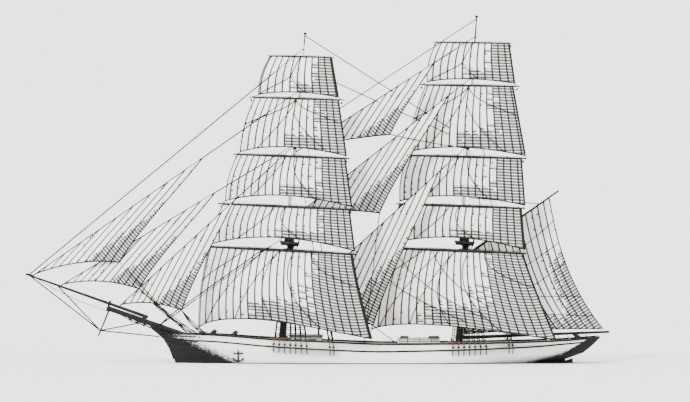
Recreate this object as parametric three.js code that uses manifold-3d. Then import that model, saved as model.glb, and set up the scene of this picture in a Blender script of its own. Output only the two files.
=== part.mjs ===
// A two-masted square-rigged sailing ship (a brig) with all plain sail set, braced sharp up on the
// starboard tack. Millimetres; +X forward, +Y to port, +Z up; the origin is on the waterline amidships.
import * as THREE from 'three';
import { mergeVertices } from 'three/addons/utils/BufferGeometryUtils.js';
import Module from 'manifold-3d';

const wasm = await Module();
wasm.setup();

const DEGREE = Math.PI / 180;
const FIT = 0.3; // gap kept between two pieces that touch

// Hull

const KEEL_Z = -3200;
const BULWARK = { height: 900, thickness: 110, bowInset: 700 };
const RAIL = { overhang: 60, thickness: 80, overlap: 20 };
const WALE = { proud: 50, depth: 100, foreCut: 500, aftCut: 300, overrun: 500 };
const DECK = { camber: 80, margin: 220 };
const STEM_HALF = 90;
const WIDEST = 0.47; // where the hull is widest, from 0 at the stern to 1 at the bow
const STATIONS = 16;
const BOX_LIMIT = 60000;

// x, height of the rail
const SHEER = [
	[-15050, 1710], [-12500, 1510], [-7600, 1360], [-3000, 1295], [0, 1300],
	[3200, 1450], [6900, 1610], [10500, 1870], [14400, 1950],
];
// x, how far the wale lies below the rail
const WALE_DROP = [
	[-15050, 190], [-12650, 210], [-10800, 300], [-4600, 410], [3200, 500], [6900, 450], [14400, 380],
];
// level (0 keel, 1 deck, 2 rail), half breadth, entry power, run power, half breadth at the stern, bow x, stern x
const LEVELS = [
	[0.00, 150, 9.0, 9.0, 110, 10300, -12600],
	[0.06, 150, 9.0, 9.0, 110, 11000, -12600],
	[0.08, 600, 1.3, 1.1, 105, 11250, -12600],
	[0.20, 2000, 1.5, 1.2, 100, 12050, -12600],
	[0.36, 2850, 1.7, 1.35, 100, 12550, -12600],
	[0.52, 3250, 1.9, 1.6, 100, 12880, -12600],
	[0.68, 3450, 2.1, 1.9, 100, 13100, -12600],
	[0.82, 3550, 2.35, 2.3, 100, 13250, -12600],
	[0.89, 3600, 2.6, 2.7, 160, 13380, -12620],
	[0.95, 3600, 2.8, 3.0, 1150, 13480, -13320],
	[1.00, 3600, 3.1, 3.3, 1750, 13600, -13950],
	[1.50, 3600, 3.2, 3.4, 1980, 13870, -14560],
	[2.00, 3600, 3.3, 3.5, 2120, 14180, -15050],
];
const DECK_LEVEL = 1;
const RAIL_LEVEL = 2;

const KNEE = {
	halfWidth: 80,
	outline: [
		[12700, 200], [13330, 250], [13600, 960], [13960, 1560], [14390, 1960],
		[14800, 2280], [14800, 2600], [13300, 2080], [13200, 900],
	],
};

// Spars ahead of the bow

const BOWSPRIT = { heel: [11950, 0, 1620], end: [17750, 0, 3672], heelRadius: 200, endRadius: 160, sides: 12 };
const JIBBOOM = { heel: [15000, 0, 3035], end: [23170, 0, 5925], heelRadius: 120, endRadius: 60, sides: 12 };
const STRIKER = { top: [17560, 0, 3600], foot: [18310, 0, 1780], topRadius: 55, footRadius: 30 };

// Masts. Heights are measured along each mast from the waterline; the topmast's line is the yards' pivot.

const LOWER_MAST_AFT = 340; // the lower mast stands this far behind the topmast's line
const MAST_SIDES = 12;
const YARD_SIDES = 10;
const HALF_FACET = 180 / MAST_SIDES;
const BRACE = 48; // degrees that the port yardarms are braced aft
const TOP = { low: 8000, thickness: 90, halfWidth: 1020, front: 420, back: -900 };
const CAP = { low: 10070, thickness: 160, halfWidth: 270, front: 230, back: -620 };
const TRUSS = { lug: 60, gap: 6, pin: 40, halfWidth: 90, reach: 110 };
const COLLAR = { height: 70, wall: 34, ropeAt: 29 };
const CROSSTREES = { length: 1150, width: 110, thickness: 70 };

const FOREMAST = {
	name: 'fore',
	x: 6542, rake: 0.092, cant: 2.0, foot: 120,
	lower: { top: 10260, footRadius: 260, topRadius: 190 },
	topmast: { top: 14760, footRadius: 130, topRadius: 110 },
	topgallant: { top: 22050, footRadius: 105, topRadius: 42 },
	firstShroud: 60,
};
const MAINMAST = {
	name: 'main',
	x: -5294, rake: 0.07, cant: 1.5, foot: 0,
	lower: { top: 10260, footRadius: 260, topRadius: 190 },
	topmast: { top: 14760, footRadius: 130, topRadius: 110 },
	topgallant: { top: 23160, footRadius: 105, topRadius: 42 },
	firstShroud: 40,
};

// yard: height on the mast, half length, radius, distance ahead of the pivot, height of its stay above it
// sail: half head, half foot, drop, arch of the foot, belly
const FORE_YARDS = [
	{ name: 'course', height: 7500, half: 6740, radius: 120, ahead: 500,
		sail: { head: 6460, foot: [7000, 7400], drop: 5480, arch: 800, belly: 2200, clewAhead: [450, -900] } },
	{ name: 'lower_topsail', height: 10430, half: 6150, radius: 105, ahead: 350,
		sail: { head: 5700, foot: [6400, 6400], drop: 2700, arch: 620, belly: 620, clewAhead: [350, 350] } },
	{ name: 'upper_topsail', height: 13800, half: 5250, radius: 95, ahead: 280, stay: 640,
		sail: { head: 4850, foot: [5700, 5700], drop: 3150, arch: 520, belly: 620, clewAhead: [280, 280] } },
	{ name: 'topgallant', height: 17670, half: 4290, radius: 78, ahead: 270, stay: 490,
		sail: { head: 3750, foot: [4780, 4780], drop: 3680, arch: 420, belly: 620, clewAhead: [270, 270] } },
	{ name: 'royal', height: 20480, half: 2990, radius: 60, ahead: 230, stay: 500,
		sail: { head: 2760, foot: [3600, 3600], drop: 2620, arch: 230, belly: 420, clewAhead: [230, 230] } },
];
const MAIN_YARDS = [
	{ name: 'course', height: 7470, half: 6190, radius: 120, ahead: 500,
		sail: { head: 5900, foot: [7200, 7900], drop: 5550, arch: 560, belly: 2300, clewAhead: [400, -900] } },
	{ name: 'lower_topsail', height: 10460, half: 5680, radius: 105, ahead: 350,
		sail: { head: 5350, foot: [5830, 5830], drop: 2700, arch: 600, belly: 600, clewAhead: [350, 350] } },
	{ name: 'upper_topsail', height: 13750, half: 5460, radius: 95, ahead: 280, stay: 610,
		sail: { head: 5000, foot: [5500, 5500], drop: 3080, arch: 450, belly: 600, clewAhead: [280, 280] } },
	{ name: 'topgallant', height: 18510, half: 4430, radius: 78, ahead: 270, stay: 510,
		sail: { head: 3820, foot: [5200, 5200], drop: 4560, arch: 420, belly: 700, clewAhead: [270, 270] } },
	{ name: 'royal', height: 21370, half: 3500, radius: 60, ahead: 230, stay: 380,
		sail: { head: 3190, foot: [3850, 3850], drop: 2650, arch: 230, belly: 420, clewAhead: [230, 230] } },
];
const SAIL = { thickness: 18, columns: 8, rows: 5, sidePower: 2.6, depthPower: 0.9, depthTurn: 0.62 };
const PARREL = { wall: 42, height: 150, armHalf: 55 };

// Standing rigging

const SHROUD = { radius: 24, count: 7, spacing: 370, outboard: 410, spread: 74, sides: 4 };
const BOLSTER = { height: 7860, halfLength: 265, halfWidth: 275, halfHeight: 45 };
const CHANNEL = { width: 460, thickness: 80, overrun: 200, steps: 4, clear: 2 };
const BACKSTAYS = { topmast: { aft: 3700, radius: 22 }, topgallant: { aft: 3950, radius: 19 } };
const STAY_RADIUS = 26;

// Spanker, swung to port from the centreline

const SPANKER = { swing: 12 };

const BOOM = { height: 1700, end: [-10070, 0, 2830], radius: 130, endRadius: 80 };
const GAFF = { height: 7150, end: [-6010, 0, 11930], radius: 100, endRadius: 55 };
const SPANKER_SAIL = {
	tack: [-285, 0, 1950], clew: [-9630, 0, 2990], throat: 0.045, peak: 0.9, hollow: 0.085, arch: 120, belly: 380,
};

// Deck

const HOUSE = {
	aft: 3400, fore: 5540, halfWidth: 1250, wall: 70, low: 400, top: 1800,
	roof: { thickness: 90, overhang: 90 },
	windows: { x: [4050, 5000], width: 420, low: 1180, high: 1560 },
	doorway: { halfWidth: 330, low: 700, high: 1620 },
};
const DOOR = { thickness: 44, hingeGap: 14, gap: 6, edge: 25, pin: 14, pinReach: 30, pinSides: 16 };
const HATCH = { aft: -4150, fore: -1950, halfWidth: 900, low: 300, top: 780 };
const CHOCKS = { x: [-3700, -2350], halfLength: 70, halfWidth: 480, top: 1120 };
// x, half breadth at the gunwale, height of the keel
const BOAT_STATIONS = [
	[-4380, 380, 1080], [-3900, 560, 1020], [-3200, 660, 980], [-2500, 620, 990], [-2000, 440, 1040], [-1620, 40, 1200],
];
const BOAT = { gunwale: 1640, crown: 70, rake: 90 };
const SKYLIGHT = { aft: -9700, fore: -8200, halfWidth: 600, low: 300, wall: 900, ridge: 1150 };
const WINDLASS = { x: 11150, height: 1450, radius: 170, halfLength: 850, bitt: [140, 110], bittAt: 560, low: 700 };
const WHEEL = {
	x: -13110, height: 1225, rim: 390, rimThick: 32, spoke: 515, spokeThick: 17, spokes: 8, hub: 75, hubHalf: 50,
	axle: 30, axleReach: 190, sides: 16,
};
const WHEEL_BOX = { aft: -13050, fore: -12380, halfWidth: 250, low: 520, wall: 1240, ridge: 1420 };
const RUDDER = {
	axisX: -12720, stockRadius: 105, heelZ: -3050, stockTop: 440, boreLow: -700, thickness: 60, sides: 24,
	outline: [[-12720, -3050], [-13560, -3050], [-13600, -1900], [-13330, -200], [-13320, 330], [-12720, 130]],
};
const CATHEAD = { x: 11300, inner: 1480, outer: 2450, z: 1990 };

// Colours of ink on paper

const paint = (color, roughness, metalness = 0) => new THREE.MeshStandardMaterial({ color, roughness, metalness });
const HULL_WHITE = paint(0xe8e6df, 0.6);
const BLACK_PAINT = paint(0x1c1c1e, 0.5);
const DECK_HOUSE = paint(0xd9d5ca, 0.65);
const CANVAS = paint(0xeeebe2, 0.9);
const TARRED_ROPE = paint(0x17171a, 0.8);

// Helpers for solids

function solid(geometry) {
	if (geometry instanceof wasm.Manifold) return geometry;
	const bare = geometry.clone();
	bare.deleteAttribute('normal');
	bare.deleteAttribute('uv');
	const merged = mergeVertices(bare, 1e-3);
	const points = merged.attributes.position.array;
	const triangles = [];
	for (let i = 0; i < merged.index.count; i += 3) {
		const [a, b, c] = merged.index.array.slice(i, i + 3);
		if (a !== b && b !== c && c !== a) triangles.push([a, b, c]);
	}
	const corner = (i) => new THREE.Vector3(points[3 * i], points[3 * i + 1], points[3 * i + 2]);
	const volume = triangles.reduce((sum, [a, b, c]) => sum + corner(a).dot(corner(b).cross(corner(c))), 0);
	if (volume < 0) triangles.forEach((triangle) => triangle.reverse());
	return new wasm.Manifold(new wasm.Mesh({
		numProp: 3,
		vertProperties: new Float32Array(points),
		triVerts: new Uint32Array(triangles.flat()),
	}));
}

const join = (...pieces) => pieces.map(solid).reduce((whole, piece) => whole.add(piece));
const cut = (piece, ...tools) => tools.map(solid).reduce((whole, tool) => whole.subtract(tool), solid(piece));

function piece(group, name, shape, material) {
	const mesh = solid(shape).getMesh();
	const geometry = new THREE.BufferGeometry();
	geometry.setAttribute('position', new THREE.BufferAttribute(new Float32Array(mesh.vertProperties), 3));
	geometry.setIndex(new THREE.BufferAttribute(new Uint32Array(mesh.triVerts), 1));
	geometry.computeVertexNormals();
	const node = new THREE.Mesh(geometry, material);
	node.name = name;
	group.add(node);
	return node;
}

// A box between two corners
function block(low, high) {
	const size = high.map((value, axis) => value - low[axis]);
	const middle = high.map((value, axis) => (value + low[axis]) / 2);
	return new THREE.BoxGeometry(...size).translate(...middle);
}

// A round bar between two points, grown all round and at its ends by "grow" and turned about itself by "turn"
function bar(from, to, startRadius, endRadius = startRadius, sides = 8, grow = 0, turn = 0) {
	const start = new THREE.Vector3(...from);
	const end = new THREE.Vector3(...to);
	const direction = end.clone().sub(start).normalize();
	start.addScaledVector(direction, -grow);
	end.addScaledVector(direction, grow);
	const flatGrow = grow / Math.cos(Math.PI / sides);
	const geometry = new THREE.CylinderGeometry(
		endRadius + flatGrow, startRadius + flatGrow, start.distanceTo(end), sides);
	const lean = new THREE.Quaternion().setFromUnitVectors(new THREE.Vector3(0, 1, 0), direction);
	const middle = start.add(end).multiplyScalar(0.5);
	return geometry.rotateY(turn).applyQuaternion(lean).translate(middle.x, middle.y, middle.z);
}

// A turned shape about +Z from [radius, height] rows that start and end on the axis
function turned(profile, sides, turn = 0) {
	const points = profile.map(([radius, height]) => new THREE.Vector2(radius, height));
	return new THREE.LatheGeometry(points, sides).rotateX(Math.PI / 2).rotateZ(turn * DEGREE);
}

function cylinder(radius, low, high, sides, turn = 0) {
	return turned([[0, low], [radius, low], [radius, high], [0, high]], sides, turn);
}

// A flat outline in x and y, raised from low to high
function plate(outline, low, high) {
	const shape = new THREE.Shape(outline.map(([x, y]) => new THREE.Vector2(x, y)));
	return new THREE.ExtrudeGeometry(shape, { depth: high - low, bevelEnabled: false }).translate(0, 0, low);
}

// An upright plate from an outline in x and z, centred on y
function uprightPlate(outline, halfWidth, y = 0) {
	return plate(outline, -halfWidth, halfWidth).rotateX(Math.PI / 2).translate(0, y, 0);
}

// Skin over rings that all hold the same number of points; "ends" lists triangles of one ring that close it
function loft(rings, ends) {
	const count = rings[0].length;
	const triangles = [];
	for (let row = 0; row < rings.length - 1; row++) {
		for (let i = 0; i < count; i++) {
			const next = (i + 1) % count;
			const [a, b] = [row * count + i, row * count + next];
			triangles.push([a, b, b + count], [a, b + count, a + count]);
		}
	}
	const last = (rings.length - 1) * count;
	for (const [a, b, c] of ends) triangles.push([c, b, a], [last + a, last + b, last + c]);
	const geometry = new THREE.BufferGeometry();
	geometry.setAttribute('position', new THREE.Float32BufferAttribute(rings.flat(2), 3));
	geometry.setIndex(triangles.flat());
	return geometry;
}

// Closes a ring whose first half is matched point by point, in reverse, by its second half
function ladder(count) {
	const rungs = [];
	for (let i = 0; i < count / 2 - 1; i++) {
		const [a, b, c, d] = [i, i + 1, count - 2 - i, count - 1 - i];
		rungs.push([a, b, c], [a, c, d]);
	}
	return rungs;
}

// A thin curved sheet; point(u, v) gives its middle for u and v from 0 to 1
function sheet(point, columns, rows, thickness) {
	const step = 1e-3;
	const faces = [[], []];
	for (let i = 0; i <= columns; i++) {
		for (let j = 0; j <= rows; j++) {
			const [u, v] = [i / columns, j / rows];
			const middle = point(u, v);
			const along = point(u + step, v).sub(point(u - step, v));
			const normal = along.cross(point(u, v + step).sub(point(u, v - step))).normalize();
			faces[0].push(middle.clone().addScaledVector(normal, thickness / 2).toArray());
			faces[1].push(middle.clone().addScaledVector(normal, -thickness / 2).toArray());
		}
	}
	const across = rows + 1;
	const back = faces[0].length;
	const triangles = [];
	const quad = (a, b, c, d) => triangles.push([a, b, c], [a, c, d]);
	for (let i = 0; i < columns; i++) {
		for (let j = 0; j < rows; j++) {
			const a = i * across + j;
			quad(a, a + across, a + across + 1, a + 1);
			quad(back + a, back + a + 1, back + a + across + 1, back + a + across);
		}
		const [low, high] = [i * across, i * across + rows];
		quad(low, back + low, back + low + across, low + across);
		quad(high, high + across, back + high + across, back + high);
	}
	for (let j = 0; j < rows; j++) {
		const end = columns * across + j;
		quad(j, j + 1, back + j + 1, back + j);
		quad(end, back + end, back + end + 1, end + 1);
	}
	const geometry = new THREE.BufferGeometry();
	geometry.setAttribute('position', new THREE.Float32BufferAttribute([...faces[0], ...faces[1]].flat(), 3));
	geometry.setIndex(triangles.flat());
	return geometry;
}

// Smooth value at x through a table of [x, value] rows
function along(table, x) {
	const last = table.length - 2;
	let row = table.findIndex(([start], i) => i < last && x < table[i + 1][0] && x >= start);
	if (row < 0) row = x < table[0][0] ? 0 : last;
	const slope = (i) => {
		const [a, b] = [table[Math.max(i - 1, 0)], table[Math.min(i + 1, last + 1)]];
		return (b[1] - a[1]) / (b[0] - a[0]);
	};
	const [[x0, y0], [x1, y1]] = [table[row], table[row + 1]];
	const width = x1 - x0;
	const t = THREE.MathUtils.clamp((x - x0) / width, 0, 1);
	return (2 * t ** 3 - 3 * t ** 2 + 1) * y0 + (t ** 3 - 2 * t ** 2 + t) * width * slope(row)
		+ (3 * t ** 2 - 2 * t ** 3) * y1 + (t ** 3 - t ** 2) * width * slope(row + 1);
}

const between = (a, b, t) => a + (b - a) * t;
const railHeight = (x) => along(SHEER, x);
const deckHeight = (x) => railHeight(x) - BULWARK.height;

// Hull surface

// The hull's side at a level and a share of its length: x, half breadth and height
function sidePoint(level, share, { inset = 0, lift = () => 0, foreCut = 0, aftCut = 0 } = {}) {
	const upper = Math.min(Math.max(LEVELS.findIndex((row) => row[0] >= level), 1), LEVELS.length - 1);
	const [low, high] = [LEVELS[upper - 1], LEVELS[upper]];
	const t = (level - low[0]) / (high[0] - low[0]);
	const [, breadth, entry, run, stern, bowX, sternX] = low.map((value, i) => between(value, high[i], t));
	const x = between(sternX + aftCut, bowX - foreCut, share);
	const [end, power, reach] = share > WIDEST
		? [STEM_HALF, entry, (share - WIDEST) / (1 - WIDEST)]
		: [stern, run, (WIDEST - share) / WIDEST];
	const half = end + (breadth - end) * (1 - reach ** power);
	const height = level <= DECK_LEVEL
		? between(KEEL_Z, deckHeight(x), level)
		: between(deckHeight(x), railHeight(x), level - DECK_LEVEL);
	return [x, Math.max(half - inset, 20), height + lift(x)];
}

const stationShare = (i) => {
	const t = i / STATIONS;
	return (t + (1 - Math.cos(Math.PI * t)) / 2) / 2;
};

const mirrored = ([x, y, z]) => [x, -y, z];

function hullBody() {
	const below = LEVELS.filter(([level]) => level <= DECK_LEVEL).reverse();
	const rings = [];
	for (let i = 0; i <= STATIONS; i++) {
		const share = stationShare(i);
		const side = below.map(([level]) => sidePoint(level, share));
		const [x, half, z] = side[0];
		const flat = i < 2 || i > STATIONS - 2;
		const margin = [x, Math.max(half - DECK.margin, half / 2), z];
		const middle = [x, margin[1] / 8, z + (flat ? 0 : DECK.camber)];
		const port = [middle, margin, ...side];
		rings.push([...port, ...port.map(mirrored).reverse()]);
	}
	return loft(rings, ladder(rings[0].length));
}

// A band of the hull's side that runs right round, solid across the ship
function sideBand(rows, options = {}) {
	const rings = [];
	for (let i = 0; i <= STATIONS; i++) {
		const port = rows.map(([level, lift]) => sidePoint(level, stationShare(i), { ...options, lift }));
		rings.push([...port, ...port.map(mirrored).reverse()]);
	}
	return loft(rings, ladder(rings[0].length));
}

const raised = (height) => () => height;
const breadthAt = (x, level = RAIL_LEVEL) => {
	const [aft, fore] = [sidePoint(level, 0)[0], sidePoint(level, 1)[0]];
	return sidePoint(level, (x - aft) / (fore - aft))[1];
};

// Mast frames

const mastTilt = (mast) => -Math.atan(mast.rake);
const mastMatrix = (mast) => new THREE.Matrix4().makeRotationY(mastTilt(mast)).setPosition(mast.x, 0, 0);
const onMast = (mast, x, y, height) => new THREE.Vector3(x, y, height).applyMatrix4(mastMatrix(mast)).toArray();

// The radius of a mast's part at a height along it
function radiusAt(part, foot, height) {
	return between(part.footRadius, part.topRadius, (height - foot) / (part.top - foot));
}

const topmastFoot = TOP.low + TOP.thickness + FIT;
const topgallantFoot = (mast) => mast.topmast.top + FIT;

function stick(part, foot, grow = 0) {
	const flatGrow = grow / Math.cos(Math.PI / MAST_SIDES);
	return turned([
		[0, foot - grow], [part.footRadius + flatGrow, foot - grow],
		[part.topRadius + flatGrow, part.top + grow], [0, part.top + grow],
	], MAST_SIDES);
}

const lowerStick = (mast, grow) => stick(mast.lower, mast.foot, grow).translate(-LOWER_MAST_AFT, 0, 0);
const topStick = (mast, grow) => stick(mast.topmast, topmastFoot, grow);
const gallantStick = (mast, grow) => stick(mast.topgallant, topgallantFoot(mast), grow);
const wholeMast = (mast) => [lowerStick(mast, FIT), topStick(mast, FIT), gallantStick(mast, FIT)];

// A ring round a mast, its bore clear of the mast's corners by FIT
function ring(radius, low, high, wall, turn = 0) {
	const bore = (radius + FIT) / Math.cos(Math.PI / MAST_SIDES);
	return cut(
		cylinder(bore + wall, low, high, MAST_SIDES, turn + HALF_FACET),
		cylinder(bore, low - 1, high + 1, MAST_SIDES, turn + HALF_FACET),
	);
}

function mastPartAt(mast, height) {
	if (height < topmastFoot) return radiusAt(mast.lower, mast.foot, height);
	if (height < topgallantFoot(mast)) return radiusAt(mast.topmast, topmastFoot, height);
	return radiusAt(mast.topgallant, topgallantFoot(mast), height);
}

function collar(mast, height, aft = 0, size = COLLAR) {
	const low = height - size.height / 2;
	const radius = aft > 0 ? radiusAt(mast.lower, mast.foot, low) : mastPartAt(mast, low);
	return solid(toGeometry(ring(radius + 2 * FIT, low, height + size.height / 2, size.wall)).translate(-aft, 0, 0));
}

function toGeometry(shape) {
	const mesh = shape.getMesh();
	const geometry = new THREE.BufferGeometry();
	geometry.setAttribute('position', new THREE.BufferAttribute(new Float32Array(mesh.vertProperties), 3));
	geometry.setIndex(new THREE.BufferAttribute(new Uint32Array(mesh.triVerts), 1));
	return geometry;
}

const placed = (shape, matrix) => solid(toGeometry(solid(shape)).applyMatrix4(matrix));

function lowerMast(mast, yard) {
	const pinLow = yard.height - PARREL.height / 2 - TRUSS.gap;
	const pinHigh = yard.height + PARREL.height / 2 + TRUSS.gap;
	const lug = (low) => block([-LOWER_MAST_AFT, -TRUSS.halfWidth, low], [TRUSS.reach, TRUSS.halfWidth, low + TRUSS.lug]);
	const { front, back, halfWidth } = TOP;
	const platform = plate([
		[back, -halfWidth], [front - 250, -halfWidth], [front, -halfWidth + 350],
		[front, halfWidth - 350], [front - 250, halfWidth], [back, halfWidth],
	], TOP.low, TOP.low + TOP.thickness);
	const capBlock = cut(
		block([CAP.back, -CAP.halfWidth, CAP.low], [CAP.front, CAP.halfWidth, CAP.low + CAP.thickness]),
		topStick(mast, FIT),
	);
	return join(
		lowerStick(mast, 0), lug(pinLow - TRUSS.lug), lug(pinHigh),
		cylinder(TRUSS.pin, pinLow - 5, pinHigh + 5, MAST_SIDES), platform, capBlock,
	);
}

function topmast(mast) {
	const { length, width, thickness } = CROSSTREES;
	const low = mast.topmast.top - thickness - 20;
	return join(
		topStick(mast, 0),
		block([-width, -length / 2, low], [width, length / 2, low + thickness]),
		block([-length * 0.4, -width * 1.6, low], [length * 0.2, width * 1.6, low + thickness]),
	);
}

function topgallantMast(mast) {
	const { top } = mast.topgallant;
	const truck = turned([[0, top - 10], [90, top], [90, top + 50], [0, top + 80]], MAST_SIDES);
	return join(gallantStick(mast, 0), truck);
}

// Yards and square sails, in a frame whose z axis is the pivot and whose y axis is the yard

function yardSpar(yard, cant, grow = 0) {
	const { half, radius, ahead } = yard;
	const wide = grow / Math.cos(Math.PI / YARD_SIDES);
	const profile = [
		[0, -half - grow], [radius * 0.45 + wide, -half - grow], [radius + wide, -half * 0.3],
		[radius + wide, half * 0.3], [radius * 0.45 + wide, half + grow], [0, half + grow],
	];
	return turned(profile, YARD_SIDES).rotateX(-Math.PI / 2 + cant * DEGREE).translate(ahead, 0, 0);
}

function yardWithTruss(mast, yard) {
	const low = -PARREL.height / 2;
	const high = PARREL.height / 2;
	const radius = yard.name === 'course' ? TRUSS.pin : mastPartAt(mast, yard.height + low);
	const eye = ring(radius, low, high, PARREL.wall, -BRACE);
	const arm = block([0, -PARREL.armHalf, low], [yard.ahead, PARREL.armHalf, high]);
	const bore = cylinder((radius + FIT) / Math.cos(Math.PI / MAST_SIDES), low - 1, high + 1,
		MAST_SIDES, HALF_FACET - BRACE);
	return cut(join(yardSpar(yard, mast.cant), arm, eye), bore);
}

function squareSail(mast, yard) {
	const { head, foot, drop, arch, belly, clewAhead } = yard.sail;
	const top = -yard.radius * 0.4;
	const point = (share, v) => {
		const u = share * 2 - 1;
		const side = u < 0 ? 0 : 1;
		const y = u * between(head, foot[side], v);
		const low = -drop + arch * (1 - u * u);
		const hollow = (clewAhead[side] - yard.ahead) * Math.max(v, 0) ** 1.3 * u ** 4;
		const depth = Math.sin(Math.PI * SAIL.depthTurn * Math.max(v, 0) ** SAIL.depthPower);
		const x = yard.ahead + belly * (1 - Math.abs(u) ** SAIL.sidePower) * depth + hollow;
		return new THREE.Vector3(x, y, between(top, low, v));
	};
	const tilt = new THREE.Matrix4().makeTranslation(yard.ahead, 0, 0)
		.multiply(new THREE.Matrix4().makeRotationX(mast.cant * DEGREE))
		.multiply(new THREE.Matrix4().makeTranslation(-yard.ahead, 0, 0));
	const cloth = sheet(point, SAIL.columns, SAIL.rows, SAIL.thickness).applyMatrix4(tilt);
	return cut(cloth, yardSpar(yard, mast.cant, FIT));
}

// Three-cornered sails on their stays

// corners: shares of the stay for tack and head, clew point; leech hollow, foot arch and belly to port
function staySail(stay, { tack, head, clew, hollow, arch, belly }) {
	const onStay = (t) => new THREE.Vector3(...stay.from).lerp(new THREE.Vector3(...stay.to), t);
	const clewPoint = new THREE.Vector3(...clew);
	const headWidth = 0.03;
	const point = (u, v) => {
		const luff = onStay(between(tack, head, v));
		const leech = clewPoint.clone().lerp(onStay(head), v * (1 - headWidth));
		leech.lerp(luff, hollow * 4 * v * (1 - v));
		const middle = luff.lerp(leech, u);
		const across = 4 * u * (1 - u);
		middle.y += belly * across * (1 - 0.7 * v);
		middle.z += arch * across * (1 - v) ** 3;
		return middle;
	};
	return sheet(point, 6, 7, SAIL.thickness);
}

// A rope, turned so that none of its edges lies in the ship's middle plane
const ROPE_TURN = 0.6;
const rope = (from, to, radius, sides = 6) => bar(from, to, radius, radius, sides, 0, ROPE_TURN);

// Spars ahead of the bow, made once plain and once grown for cutting their neighbours
const bowspritBar = (grow) => bar(BOWSPRIT.heel, BOWSPRIT.end, BOWSPRIT.heelRadius, BOWSPRIT.endRadius,
	BOWSPRIT.sides, grow);
const jibboomBar = (grow) => bar(JIBBOOM.heel, JIBBOOM.end, JIBBOOM.heelRadius, JIBBOOM.endRadius,
	JIBBOOM.sides, grow);
const steeve = Math.atan2(BOWSPRIT.end[2] - BOWSPRIT.heel[2], BOWSPRIT.end[0] - BOWSPRIT.heel[0]);

function bowsprit(grow) {
	const along = (low, high) => block(low.map((value) => value - grow), high.map((value) => value + grow)).rotateY(-steeve);
	const capBlock = along([-150, -190, -210], [0, 190, 520]).translate(...BOWSPRIT.end);
	const saddle = along([-120, -110, 100], [120, 110, 330]).translate(15300, 0, 2805);
	return join(bowspritBar(grow), capBlock, saddle);
}

const bowspritSolid = cut(bowsprit(0), jibboomBar(FIT));
const bowspritTool = bowsprit(FIT);

// A plain copy of the knee, grown for cutting the bulwarks
const kneePlate = (grow) => uprightPlate(KNEE.outline, KNEE.halfWidth + grow);

const mastHole = (mast) => placed(lowerStick(mast, FIT), mastMatrix(mast));

function rudderStockHole() {
	const radius = (RUDDER.stockRadius + FIT) / Math.cos(Math.PI / RUDDER.sides);
	const hole = cylinder(radius, RUDDER.boreLow, RUDDER.stockTop + 20, RUDDER.sides, 180 / RUDDER.sides);
	return hole.translate(RUDDER.axisX, 0, 0);
}

const hullSolid = cut(
	join(hullBody(), kneePlate(0)), bowspritTool, mastHole(FOREMAST), mastHole(MAINMAST), rudderStockHole(),
);
const lifted = (shape, by = FIT) => placed(shape, new THREE.Matrix4().makeTranslation(0, 0, by));
const hullLifted = lifted(hullSolid);

// Rigging lands on the channels outside the rail
const channelHeight = (x) => railHeight(x) - along(WALE_DROP, x) - CHANNEL.thickness / 2;

// The x of every cut between a channel's straight steps
function channelCuts(mast) {
	const fore = mast.x + mast.firstShroud + CHANNEL.overrun;
	const aft = mast.x - BACKSTAYS.topgallant.aft - CHANNEL.overrun;
	return Array.from({ length: CHANNEL.steps + 1 }, (_, i) => between(aft, fore, i / CHANNEL.steps));
}

// Where a rope at x lands on a channel, just clear of its top
function channelPoint(x) {
	const cuts = channelCuts(x > 0 ? FOREMAST : MAINMAST);
	const step = cuts.findLastIndex((start) => start <= x);
	const t = (x - cuts[step]) / (cuts[step + 1] - cuts[step]);
	const top = between(channelHeight(cuts[step]), channelHeight(cuts[step + 1]), t) + CHANNEL.thickness;
	return [x, breadthAt(x) + SHROUD.outboard, top + CHANNEL.clear];
}

const shroudFoot = (mast, i) => channelPoint(mast.x + mast.firstShroud - i * SHROUD.spacing);

function channel(mast) {
	const rings = channelCuts(mast).map((x) => {
		const inner = breadthAt(x) - BULWARK.thickness / 2;
		const outer = breadthAt(x) + CHANNEL.width;
		const low = channelHeight(x);
		const high = low + CHANNEL.thickness;
		return [[x, inner, low], [x, outer, low], [x, outer, high], [x, inner, high]];
	});
	return loft(rings, [[0, 1, 2], [0, 2, 3]]);
}

// The cathead with the anchor that hangs from it, to port
function anchorOnCathead() {
	const { x, inner, outer, z } = CATHEAD;
	const beam = bar([x, inner, z], [x + 180, outer, z + 110], 85, 85, 4);
	const ringTop = [x + 170, outer - 60, z + 90];
	const crown = [x + 720, outer - 200, z - 820];
	const shank = bar(ringTop, crown, 42, 55, 6);
	const stock = bar([x + 250, outer - 560, z - 50], [x + 250, outer + 420, z - 50], 40, 40, 6);
	const arm = (side) => bar(crown, [crown[0] - 140, crown[1] + side * 380, crown[2] + 330], 52, 28, 6);
	return join(beam, shank, stock, arm(1), arm(-1));
}

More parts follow.
